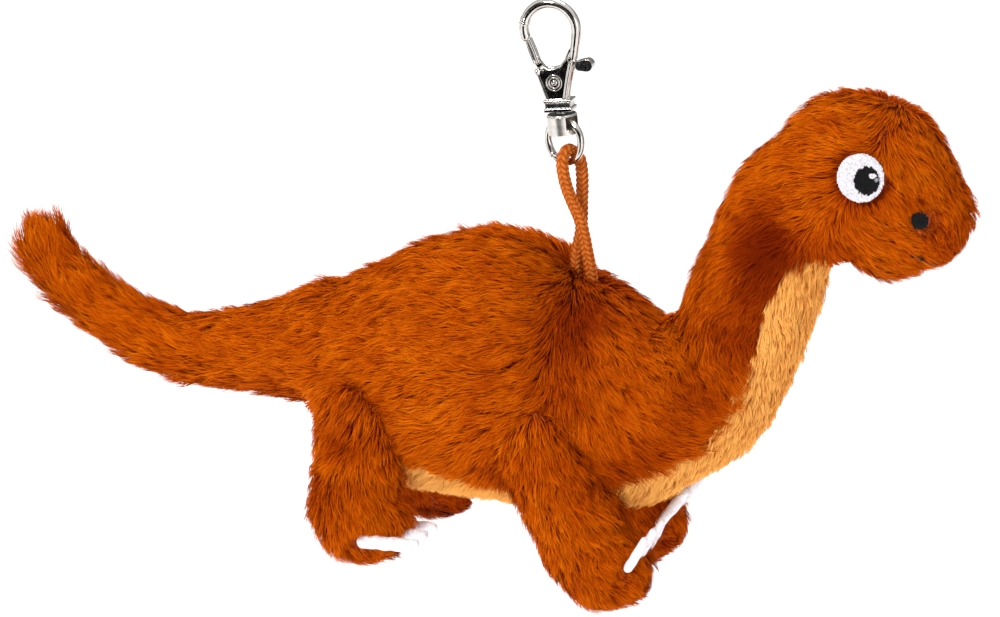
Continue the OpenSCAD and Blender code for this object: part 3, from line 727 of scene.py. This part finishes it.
def panel_piece(name, mesh, keep, mat, nodes):
    co = gathered(mesh.vertices, "co")
    faces = [tuple(p.vertices) for p in mesh.polygons]
    corner = np.array([f if len(f) == 4 else (*f, f[0]) for f in faces])
    middle = (co[corner].mean(1) - back) / MM
    chosen = np.nonzero(keep(middle))[0]
    used = np.unique(corner[chosen])
    remap = np.full(len(co), -1)
    remap[used] = np.arange(len(used))
    piece = mesh_object(name, co[used], [tuple(int(remap[i]) for i in faces[k]) for k in chosen], mat,
                        "plush")
    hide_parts(*nodes)
    return piece


right_cloth = panel_piece("side_cloth_right", trunk, lambda p: (p[:, 1] <= 0) & (seam_side(p) > 0),
                          cloth_mat, ["side_panel_right"])
left_cloth = panel_piece("side_cloth_left", trunk, lambda p: (p[:, 1] > 0) & (seam_side(p) > 0), cloth_mat,
                         ["side_panel_left"])
gusset_cloth = panel_piece("gusset_cloth", trunk, lambda p: seam_side(p) <= 0, cream_cloth,
                           ["belly_gusset"])
for (end, side), mesh in limbs.items():
    panel_piece(f"leg_cloth_{end}_{side}", mesh, lambda p: p[:, 0] < 1e9, cloth_mat,
                                       [f"leg_{end}_{side}"])
for node in [k for k in frame["nodes"] if k.startswith("stuffing_")]:
    mesh = backing(node.replace("stuffing", "filling"), [node], 0.9, 10, -0.5)
    dent(mesh, darts)
    mesh.materials.clear()
    mesh.materials.append(fibre_mat)
    filling = linked(mesh.name, mesh)
    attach(filling, "plush")
    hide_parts(node)

# %% [markdown]
# ## Combing the pile
# Pile has a nap, so each strand lies in a direction that changes slowly over the body.
# A few guide hairs give that direction at known places, and every root takes the
# weighted mean of the guides near it, laid flat on the cloth.

# %% Guide hairs: x, z, then the way they point
guides = np.array([
    (-112, -4, -0.2, 0.95), (-105, -11, -0.6, 0.75), (-90, -18, -0.85, 0.5), (-75, -21, -0.98, 0.12),
    (-60, -20, -1.0, -0.05), (-50, -14, -1.0, -0.12), (-50, -26, -0.85, -0.45),
    (-38, -10, -0.97, -0.2), (-30, -20, -0.98, -0.15), (-20, -3, -0.95, 0.12), (-16, -12, -1.0, -0.12),
    (-10, -20, -0.98, -0.2), (-22, -32, -0.9, -0.4), (-36, -30, -0.8, -0.6), (-43, -34, -0.6, -0.8),
    (-44, -48, -0.25, -0.97), (-38, -48, 0.2, -0.97), (-12, -34, -0.75, -0.65), (-4, -4, -0.8, 0.0),
    (-2, -26, -0.9, -0.35), (-9, -44, -0.3, -0.95), (-2, -44, 0.3, -0.95), (5, -55, 0.45,
        -0.9), (-3, -40, 0.1, -1.0),
    (6, -6, 0.6, -0.75), (10, -16, 0.65, -0.75), (16, -12, 0.5, -0.6), (8, -28, 0.6, -0.75), (18, -24, 0.85,
        -0.5),
    (12, -35, 0.8, -0.4), (27, -14, 0.6, -0.7), (30, -26, 0.9, 0.15), (33, -12, 0.3, -0.95), (38, 0, -0.35,
        -0.93),
    (36, 4, -0.8, -0.5), (44, 8, -0.5, -0.86), (40, 14, -0.9, -0.35), (47, 24, -0.95, -0.3),
    (50, 27, -0.97, -0.1), (53, 33, -0.97, 0.15), (57, 38, -0.9, 0.35), (60, 34, -0.85, 0.3), (58, 28, -1.0,
        0.0),
    (61, 41, -0.9, 0.3), (63, 35, -0.45,
                          0.85), (65, 38, 0.3, 0.8), (67, 41, 0.9, 0.2), (68, 34, 0.6, -0.5), (71, 38, 0.85,
                              -0.45), (72, 32, 0.55, -0.8),
    (76, 34, 0.6, -0.75), (74, 26, 0.45, -0.85), (69, 25, 0.35,
                                                  -0.9), (80, 25, 0.4, -0.9), (78, 19, 0.4, -0.85),
    (82, 15, 0.3, -0.9), (77, 13, 0.75, -0.6), (72, 18, 0.6, -0.7), (66, 19, 0.85,
        -0.5), (60, 19, 0.9, -0.4),
    (55, 22, -0.95, -0.15), (50, 19, -0.9, -0.35), (57, 15, 0.85,
                                                    -0.45), (63, 13, 0.9, -0.35), (70, 10, 0.85, -0.3),
])
cream_guides = np.array([
    (48, 8, -0.3, -0.95), (43, -6, -0.25, -0.95), (40, -18, -0.35, -0.9), (33, -31, -0.3,
        -0.9), (22, -40, -0.2, -0.95),
    (8, -44, -0.2, -0.95), (-10, -46, -0.35, -0.9), (-30, -44, -0.4, -0.9), (-46, -40, -0.6, -0.8),
])
leg_guides = np.array([
    (-12, -36, -0.7, -0.75), (-4, -37, 0.1, -1.0), (4, -38, 0.6, -0.8), (-3, -50, -0.1,
        -1.0), (6, -52, 0.5, -0.85), (8, -60, 0.5, -0.8), (16, -60, 0.75, -0.6),
    (20, -58, 0.85, -0.3), (14, -48, 0.6, -0.8), (-46, -30, -0.6, -0.8), (-38, -30, -0.35,
        -0.95), (-46, -48, -0.15, -1.0),
    (-38, -46, 0.25, -0.97), (-32, -44, 0.45, -0.9), (-44, -56, 0.2, -0.95), (-34, -56, 0.7,
        -0.6), (-28, -50, 0.6, -0.75),
])


def combed(p, normal, table, reach):
    d2 = (p[:, None, 0] - table[None, :, 0]) ** 2 + (p[:, None, 2] - table[None, :, 1]) ** 2
    w = np.exp(-d2 / (2 * reach * reach)) + 1e-9 / (d2 + 1)
    flow = (w[:, :, None] * table[None, :, 2:4]).sum(1) / w.sum(1)[:, None]
    part = np.sign(p[:, 1]) * np.clip(normal[:, 2], 0, 1) * 0.28
    d = np.stack([flow[:, 0], part, flow[:, 1]], 1)
    d -= normal * (d * normal).sum(1)[:, None]
    return d / (np.linalg.norm(d, axis=1)[:, None] + 1e-9)


print("guides", len(guides), len(cream_guides), len(leg_guides))

# %% [markdown]
# ## Growing the pile
# Strands could come from a particle system, but real mesh strands export and pose like
# any other piece. Each is a thin curved ribbon. Roots are scattered evenly, tufts draw
# neighbours' tips together, and a slow noise makes some tufts stand and others lie.


# %% Strand builder
def scatter(mesh, count, rng):
    mesh.calc_loop_triangles()
    tri = np.zeros(len(mesh.loop_triangles) * 3, np.int32)
    mesh.loop_triangles.foreach_get("vertices", tri)
    tri = tri.reshape(-1, 3)
    co, no = gathered(mesh.vertices, "co"), gathered(mesh.vertex_normals, "vector")
    area = np.linalg.norm(np.cross(co[tri[:, 1]] - co[tri[:, 0]], co[tri[:, 2]] - co[tri[:, 0]]), axis=1)
    pick = rng.choice(len(tri), count, p=area / area.sum())
    r1, r2 = np.sqrt(rng.random(count)), rng.random(count)
    bary = np.stack([1 - r1, r1 * (1 - r2), r1 * r2], 1)
    p = (co[tri[pick]] * bary[:, :, None]).sum(1)
    n = (no[tri[pick]] * bary[:, :, None]).sum(1)
    return (p - back) / MM, n / np.linalg.norm(n, axis=1)[:, None], area.sum() / 2 / MM ** 2


def surface_tree(mesh):
    return BVHTree.FromPolygons([tuple(v.co) for v in mesh.vertices],
                                [tuple(f.vertices) for f in mesh.polygons])


def point_tree(points):
    tree = KDTree(len(points))
    for i, q in enumerate(points):
        tree.insert(Vector(q), i)
    tree.balance()
    return tree


def inside(points, tree):
    hidden = np.zeros(len(points), bool)
    for i, p in enumerate(points):
        hit, normal, _, _ = tree.find_nearest(Vector(p * MM + back))
        hidden[i] = (Vector(p * MM + back) - hit).dot(normal) < -0.0002
    return hidden


def slow_noise(p, scale, rng):
    total = np.zeros(len(p))
    for _ in range(5):
        k = rng.normal(size=3) / scale
        total += np.sin(p @ k * 2 * math.pi + rng.random() * 6.28)
    return total / 2.2


def grow(name, p, n, flow, length, height, shade, mat, slot, rng, width=0.22, per_tuft=14, pull=0.34,
         rows=4, body="plush"):
    """p, n, flow: roots, normals and nap in the toy's frame; lengths in millimetres."""
    count = len(p)
    centres = rng.choice(count, max(8, count // per_tuft), replace=False)
    tree = point_tree(p[centres])
    near = centres[np.array([tree.find(Vector(q))[1] for q in p])]
    tuft_tone = rng.random(count)[near]
    tuft_turn = rng.normal(0, 0.15, count)[near] + 0.22 * slow_noise(p, 9, rng)
    tuft_rise = 1 + rng.normal(0, 0.20, count)[near]
    tuft_long = 1 + rng.normal(0, 0.12, count)[near]
    side = np.cross(n, flow)
    turn = tuft_turn + rng.normal(0, 0.09, count)
    flow = flow * np.cos(turn)[:, None] + side * np.sin(turn)[:, None]
    long = length * tuft_long * rng.uniform(0.72, 1.12, count)
    rise = height * np.clip(tuft_rise, 0.35, 1.8) * rng.uniform(0.8, 1.15, count)
    offset = p - p[near]
    offset -= n * (offset * n).sum(1)[:, None]
    gather = pull * rng.uniform(0.6, 1.15, count)
    bow = rng.normal(0, 0.10, count) * long
    ts = np.linspace(0, 1, rows)
    verts = np.zeros((count, 2 * rows - 1, 3))
    uv = np.zeros((count, 2 * rows - 1, 2))
    tone = np.clip(0.12 + 0.22 * tuft_tone + 0.55 * rng.random(count) + 0.14 * slow_noise(p, 13, rng)
                   - shade, 0, 1)
    spine = [p + n * (rise * (1 - (1 - t) ** 2.2))[:, None] + flow
             * (long * (0.45 * t + 0.55 * t ** 1.6))[:, None]
             - offset * (gather * t ** 1.2)[:, None] + side * (bow * t * t)[:, None] for t in ts]
    twist = rng.uniform(-0.7, 0.7, count)
    for i, t in enumerate(ts):
        along = spine[min(i + 1, rows - 1)] - spine[max(i - 1, 0)]
        along /= np.linalg.norm(along, axis=1)[:, None] + 1e-9
        wide = np.cross(along, n)
        wide /= np.linalg.norm(wide, axis=1)[:, None] + 1e-9
        wide = wide * np.cos(twist)[:, None] + np.cross(along, wide) * np.sin(twist)[:, None]
        if i < rows - 1:
            half = width * (1 - 0.75 * t ** 1.5) / 2
            verts[:, 2 * i], verts[:, 2 * i + 1] = spine[i] - wide * half, spine[i] + wide * half
            uv[:, 2 * i, 1] = uv[:, 2 * i + 1, 1] = t
        else:
            verts[:, 2 * i], uv[:, 2 * i, 1] = spine[i], 1
    uv[:, :, 0] = tone[:, None]
    uv[:, :, 1] *= 1 - 0.9 * np.clip(shade, 0, 0.9)[:, None]
    base = (np.arange(count) * (2 * rows - 1))[:, None]
    quads = np.concatenate([base + (2 * i, 2 * i + 1, 2 * i + 3, 2 * i + 2) for i in range(rows - 2)],
                           1).reshape(-1, 4)
    tips = base + (2 * rows - 4, 2 * rows - 3, 2 * rows - 2)
    mesh = bpy.data.meshes.new(name)
    total = count * (2 * rows - 1)
    mesh.vertices.add(total)
    mesh.vertices.foreach_set("co", toy_to_world(verts.reshape(-1, 3)).ravel())
    loops = np.concatenate([quads.ravel(), tips.ravel()])
    starts = np.concatenate([np.arange(len(quads)) * 4, len(quads) * 4 + np.arange(len(tips)) * 3])
    mesh.loops.add(len(loops))
    mesh.loops.foreach_set("vertex_index", loops)
    mesh.polygons.add(len(starts))
    mesh.polygons.foreach_set("loop_start", starts)
    mesh.polygons.foreach_set("use_smooth", [True] * len(starts))
    mesh.update(calc_edges=True)
    flat = uv.reshape(-1, 2)
    set_strand_uv(mesh, flat[:, 0], flat[:, 1])
    mesh.materials.append(mat)
    obj = linked(name, mesh)
    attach(obj, body)
    print(name, "strands", count)
    return obj


# %% [markdown]
# Pile is longest on the tail's tip, shorter on the muzzle, and short and fine on the
# cream gusset. Roots under an embroidered patch or inside a joined part are dropped, as
# nothing grows there. Folds, feet and the left legs get darker strands: that is shade
# painted as colour, so it stays put from every side, which real shade would not do.

# %% Pile on the trunk
eye_mm, nostril_mm = np.array([62.1, -13.8, 27.4]), np.array([72.9, -9.1, 18.5])
density = 9.5
rng = np.random.default_rng(7)
leg_trees = [surface_tree(m) for m in limbs.values()]
trunk_tree = surface_tree(trunk)
_, _, trunk_area = scatter(trunk, 10, rng)
p, n, _ = scatter(trunk, int(trunk_area * density), rng)
buried = np.zeros(len(p), bool)
low = p[:, 2] < -20
for tree in leg_trees:
    buried[low] |= inside(p[low], tree)
side_p = np.stack([p[:, 0], -np.abs(p[:, 1]), p[:, 2]], 1)
off_eye = np.linalg.norm((side_p - eye_mm) * (1, 0.5, 1), axis=1)
off_nostril = np.linalg.norm((side_p - nostril_mm) * (1, 0.5, 1), axis=1)
keep = ~buried & (off_eye > 4.6) & (off_nostril > 2.0)
p, n = p[keep], n[keep]
above = seam_side(p)
brown = above > 0
flow = combed(p, n, guides, 6.5)
cream_flow = combed(p, n, cream_guides, 9.0)
x, z = p[:, 0], p[:, 2]
head_like = np.clip((x - 48) / 10, 0, 1)
muzzle = np.clip(1 - np.linalg.norm(p[:, [0, 2]] - (76, 15), axis=1) / 12, 0, 1)
tail_tip = np.clip((-100 - x) / 12, 0, 1)
chin = np.clip(1 - np.linalg.norm(p[:, [0, 2]] - (69, 8), axis=1) / 7, 0, 1)
length = 4.9 - 0.7 * head_like - 1.1 * muzzle + 2.0 * tail_tip + 1.6 * chin
height = 1.7 - 0.1 * head_like - 0.1 * muzzle + 0.9 * tail_tip + 0.15 * slow_noise(p, 16, rng)
near_seam = np.clip(1 - above / 3.0, 0, 1)
near_nose = np.clip(1.6 - off_nostril[keep] / 3.5, 0, 1)
whorl = np.exp(-((x - 64) ** 2 + (z - 40) ** 2) / 49)
height = height * (1 - 0.55 * whorl) - 0.6 * near_seam - 0.9 * near_nose
length = length - 0.9 * near_seam - 2.4 * near_nose
folds = [  # x, z, reach, how much darker
    (3, -6, 4.5, 0.5), (4, -14, 8, 0.2), (45, 14, 5, 0.95), (43, 7, 5, 0.55), (40, -1, 6, 0.3),
    (-41, -32, 3.5, 0.35), (-8, -38, 3.5, 0.35), (36, -8, 7, 0.3), (27, -22, 8, 0.25), (-46, -44, 5, 0.15),
    (56, 10, 6, 0.15), (16, -33, 6, 0.25), (78, 14, 6, 0.25), (8, -32, 6, 0.2),
]


def shaded(q):
    dark = np.zeros(len(q))
    for fx, fz, reach, amount in folds:
        dark += amount * np.exp(-((q[:, 0] - fx) ** 2 + (q[:, 2] - fz) ** 2) / reach ** 2)
    near_feet = np.clip((-48 - q[:, 2]) / 20, 0, 1)
    return dark + 0.15 * near_feet


zones = {
    "tail": x < -72,
    "rump": (x >= -72) & (x < -44),
    "torso": (x >= -44) & (x < -14),
    "shoulder": (x >= -14) & (x < 14),
    "chest": (x >= 14) & (x < 34),
    "neck": (x >= 34) & ~((x > 48) | (z > 18)),
    "head": (x >= 34) & ((x > 48) | (z > 18)),
}
for zone, spot in zones.items():
    for side, half in (("right", p[:, 1] <= 0), ("left", p[:, 1] > 0)):
        mask = brown & spot & half
        grow(f"pile_{zone}_{side}", p[mask], n[mask], flow[mask], length[mask], height[mask],
             shaded(p[mask]), brown_pile, "plush_brown", rng)
cream = ~brown
grow("pile_gusset", p[cream], n[cream], cream_flow[cream], np.full(cream.sum(), 3.0), 1.5 - 0.5
     * np.clip(1 + above[cream] / 3, 0, 1),
     np.zeros(cream.sum()), cream_pile, "plush_cream", rng, pull=0.22)

# %% Pile on the legs
far_side = {("front", "right"): 0, ("hind", "right"): 0, ("front", "left"): 0.15, ("hind", "left"): 0.22}
for (end, side), mesh in limbs.items():
    _, _, area = scatter(mesh, 10, rng)
    p, n, _ = scatter(mesh, int(area * density), rng)
    ok = ~inside(p, trunk_tree)
    p, n = p[ok], n[ok]
    flow = combed(p, n, leg_guides, 5.0)
    sole = np.clip(-n[:, 2], 0, 1)
    claw_tree = point_tree(node_mesh(f"claws_{end}_{side}")[0])
    to_claw = np.array([claw_tree.find(Vector(q * MM + back))[2] for q in p]) / MM
    trim = np.clip(1.5 - to_claw / 2.6, 0, 1)
    grow(f"pile_leg_{end}_{side}", p, n, flow, 4.3 - 0.6 * sole - 2.9 * trim, 1.7 - 0.3 * sole - 1.1 * trim
         + 0.15 * slow_noise(p, 12, rng),
         shaded(p) + far_side[end, side], brown_pile, "plush_brown", rng)

# %% [markdown]
# ## Claws
# Each foot carries three narrow stuffed claws of white brushed cloth, and their roots sink
# in the pile. The table gives each foot's set a length, a turn and a shift away from the
# solid claws. Shape like that is better kept in the solid model.


# %% Claws
claw_set = {("front", "right"): (0.68, 9, (0.3, 0, 1.2)), ("front", "left"): (0.85, 0, (0, 0, 0)),
            ("hind", "right"): (1.05, 3, (1.2, 0, 0.4)), ("hind", "left"): (1.0, 0, (-4, 0, 2.5))}
for end in ("front", "hind"):
    for side in ("right", "left"):
        node = f"claws_{end}_{side}"
        mesh = backing(f"claws_felt_{end}_{side}", [node], 0.3, 5, 0.5)
        co = gathered(mesh.vertices, "co")
        middle = co.mean(0)
        short, turn_by, shift = claw_set[end, side]
        lump = slow_noise((co - middle) / MM, 5, rng)[:, None] * 0.12 * MM
        c, t = math.cos(math.radians(turn_by)), math.sin(math.radians(turn_by))
        q = (co - middle) * (short, 1, short)
        q = np.stack([q[:, 0] * c - q[:, 2] * t, q[:, 1], q[:, 0] * t + q[:, 2] * c], 1)
        co = middle + q + lump * (0, 1, 1) + np.array(shift) * MM
        mesh.vertices.foreach_set("co", co.ravel())
        mesh.update()
        mesh.materials.clear()
        mesh.materials.append(claw_mat)
        mesh.polygons.foreach_set("use_smooth", [True] * len(mesh.polygons))
        part = linked(mesh.name, mesh)
        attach(part, "plush")
        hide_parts(node)


# %% [markdown]
# ## Embroidery
# The eye is satin stitched: rows of thread side by side over a low pad. The pupil is
# stitched on top of the white, with a white glint and a smaller grey one. Every row is
# a fine half-round thread, so the patch has a true stitched edge.


# %% Satin stitch patches
def satin(name, centre, right, up, out, outline, row, dome, base, mat, node, ragged=0.06, seed=1):
    """outline(v) gives the low and high ends of the thread at height v, all in mm."""
    rng = np.random.default_rng(seed)
    verts, faces = [], []
    reach = outline(None)
    for v in np.arange(-reach + row / 2, reach, row):
        ends = outline(v)
        if ends is None or ends[1] - ends[0] < 0.15:
            continue
        lo, hi = ends[0] + rng.normal(0, ragged), ends[1] + rng.normal(0, ragged)
        us = np.linspace(lo, hi, max(4, int((hi - lo) / 0.45)))
        line = []
        for u in us:
            far_out = min(1.0, math.hypot(u, v) / reach)
            tuck = min((u - lo), (hi - u)) / 0.35
            h = base + dome * (1 - far_out ** 2) - 0.28 * max(0.0, 1 - tuck) + rng.normal(0, 0.012)
            line.append(centre + right * u + up * v + out * h)
        tv, tf = tube(np.array(line), row * 0.56, 8)
        k = len(verts)
        verts += list(tv)
        faces += [tuple(i + k for i in f) for f in tf]
    patch = mesh_object(name, toy_to_world(np.array(verts)), faces, mat, "plush")
    if node:
        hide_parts(node)
    print(name, "verts", len(verts))
    return patch


def disc(r, squash=1.0):
    return lambda v: r if v is None else (-math.sqrt(max(0, r * r - v * v)) * squash,
                                          math.sqrt(max(0, r * r - v * v)) * squash)


for sign, side in ((1, "right"), (-1, "left")):
    yaw = math.radians(9)
    flip = np.array([1, sign, 1])
    out = np.array([math.sin(yaw), -math.cos(yaw), 0]) * flip
    right = np.array([math.cos(yaw), math.sin(yaw), 0]) * flip
    up = np.array([0, 0, 1.0])
    centre = eye_mm * flip
    satin("eye_stitch_" + side, centre, up, right, out, disc(4.6, 1.04), 0.27, 0.3, 0.85, thread_white,
          "eye_white_" + side, seed=2)
    satin("pupil_stitch_" + side, centre + right * 1.2 - up * 0.35, up, right, out, disc(2.5, 1.15), 0.24,
          0.2, 1.3, thread_black, "pupil_" + side, ragged=0.13, seed=3)
    satin("glint_stitch_" + side, centre + right * 2.35 + up * 0.75, right, up, out, disc(0.55, 1.5), 0.2,
          0.1, 1.62, thread_white, "glint_" + side, seed=4)
    satin("glint_grey_" + side, centre + right * 3.2 - up * 0.1, right, up, out, disc(0.4, 1.2), 0.2, 0.1,
          1.55, thread_grey, None, seed=5)
    yaw = math.radians(14)
    out = np.array([math.sin(yaw), -math.cos(yaw), 0]) * flip
    right = np.array([math.cos(yaw), math.sin(yaw), 0]) * flip
    satin("nostril_stitch_" + side, nostril_mm * flip, up, right, out, disc(1.7, 1.0), 0.24, 0.3, 1.3,
          thread_black, "nostril_" + side, ragged=0.16, seed=6)

mouth_verts, mouth_faces = [], []
for sign in (-1, 1):
    line = smooth_line(np.array([(70.9, 7.9 * sign, 11.2), (73.2, 6.6 * sign, 9.8),
                                 (75.2, 3.5 * sign, 7.8)]), 6)
    for i, q in enumerate(line):
        hit, normal, _, _ = trunk_tree.find_nearest(Vector(q * MM + back))
        line[i] = (np.array(hit) - back) / MM + np.array(normal) * 1.5
    for i in range(0, len(line) - 1, 2):
        seg = line[i:i + 3]
        tv, tf = tube(np.array([seg[0], seg[1] + (0.1, 0, -0.2), seg[-1]]), 0.36, 10)
        k = len(mouth_verts)
        mouth_verts += list(tv)
        mouth_faces += [tuple(j + k for j in f) for f in tf]
mouth = mesh_object("mouth_thread", toy_to_world(np.array(mouth_verts)), mouth_faces, thread_black, "plush")
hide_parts("mouth_stitch")

# %% [markdown]
# ## Fuzz on the cord
# A worn braid sheds fine fibres. A thin scatter of very short strands breaks its edge.

# %% Cord fuzz
rng = np.random.default_rng(11)
p, n, _ = scatter(cord.data, 1500, rng)
flow = np.cross(n, rng.normal(size=(len(p), 3)))
flow /= np.linalg.norm(flow, axis=1)[:, None]
fuzz = grow("cord_fuzz", p, n, flow, np.full(len(p), 0.45), np.full(len(p), 0.28), np.zeros(len(p)),
            brown_pile, "cord_brown", rng, width=0.05, pull=0.1, rows=3)

# %% [markdown]
# ## Studio
# A pale floor under soft, wide lights. Metal needs something dark to show its shape,
# so a black flag lies in front, where only reflections see it, and the sky behind the
# camera is dark too. Studios do the same for chrome.

# %% Floor, world and lights
scene.view_settings.view_transform = "Standard"
scene.view_settings.look = "None"
floor_mat, fl, fsh = material("floor_paper", Roughness=0.95, Specular_IOR_Level=0.0,
                              Emission_Color=rgb(1, 1, 1), Emission_Strength=0.45)
feed(floor_mat, fsh,
     Base_Color=fl.node("ShaderNodeTexNoise", Vector=fl.node("ShaderNodeTexCoord", pick=3), Scale=3.0)
     .ramp((0.3, (0.90, 0.90, 0.90)), (0.7, (0.93, 0.93, 0.93))))
floor = mesh_object("floor", [(-20, -20, -0.21), (20, -20, -0.21), (20, 20, -0.21), (-20, 20, -0.21)],
                    [(0, 1, 2, 3)], floor_mat, None)
floor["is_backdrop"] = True

flag_mat, _, _ = material("black_flag", Roughness=1.0, Base_Color=rgb(0.004, 0.004, 0.004),
                          Specular_IOR_Level=0.0)
corners = [Vector((math.sin(t) * d, -math.cos(t) * d, 0)) for t,
           d in ((-0.52, 0.25), (0.22, 0.25), (0.22, 7.0), (-0.52, 7.0))]
flag = mesh_object("black_flag", [(c.x, c.y, -0.205) for c in corners], [(0, 1, 2, 3)], flag_mat, None)
flag.visible_camera = flag.visible_diffuse = flag.visible_shadow = False
flag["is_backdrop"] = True

world = bpy.data.worlds.new("studio")
scene.world = world
world.use_nodes = True
w = Sock(world.node_tree, None)
look = w.node("ShaderNodeSeparateXYZ", Vector=w.node("ShaderNodeTexCoord", pick=0))
up_dir = Sock(world.node_tree, look.out.node.outputs[2])
y_dir = Sock(world.node_tree, look.out.node.outputs[1])
turn = y_dir.math("ARCTAN2", y_dir, look)
bands = (turn * 5.0 + 0.9).math("SINE", turn * 5.0 + 0.9)
facing = look * -0.14 + y_dir * -0.96 + up_dir * 0.24
sky = (facing * 0.5 + 0.5 + bands * 0.03).ramp((0.0, (0.2, 0.2, 0.21)), (0.35, (0.6, 0.6, 0.6)),
                                               (0.68, (1.2, 1.2, 1.2)),
                                               (0.84, (0.8, 0.8, 0.8)), (0.88, (0.02, 0.02, 0.02)))
overhead = up_dir.ramp((0.0, (0, 0, 0)), (0.5, (0, 0, 0)), (0.8, (1, 1, 1)))
studio_look = overhead.mix(sky, rgb(1.1, 1.1, 1.1))
path = w.node("ShaderNodeLightPath")
glossy = Sock(world.node_tree, path.out.node.outputs["Is Glossy Ray"])
seen = glossy.mix(rgb(0.52, 0.52, 0.52), studio_look)
shown = path.mix(seen, rgb(1.0, 1.0, 1.0))
background = world.node_tree.nodes["Background"]
world.node_tree.links.new(shown.out, background.inputs["Color"])
background.inputs["Strength"].default_value = 1.0


def soft_light(name, place, target, size, power, tint=(1, 1, 1)):
    data = bpy.data.lights.new(name, "AREA")
    data.shape, data.size, data.energy, data.color = "DISK", size, power, tint
    lamp = bpy.data.objects.new(name, data)
    scene.collection.objects.link(lamp)
    lamp.location = place
    lamp.rotation_mode = "QUATERNION"
    lamp.rotation_quaternion = (Vector(target) - Vector(place)).to_track_quat("-Z", "Y")
    lamp.visible_camera = False
    return lamp


soft_light("key", (-0.35, -0.9, 0.65), (0, 0, -0.06), 0.3, 10)
soft_light("fill", (0.9, -0.8, 0.1), (0, 0, -0.06), 0.6, 2)
soft_light("top", (0.1, 0.25, 0.9), (0, 0, -0.06), 0.5, 5)

# %% Sizes and finish
shown_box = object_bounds()
for name, (lo, hi) in (("cad", cad_box), ("visual", shown_box)):
    print(name, [round(v / MM, 1) for v in lo], [round(v / MM, 1) for v in hi])
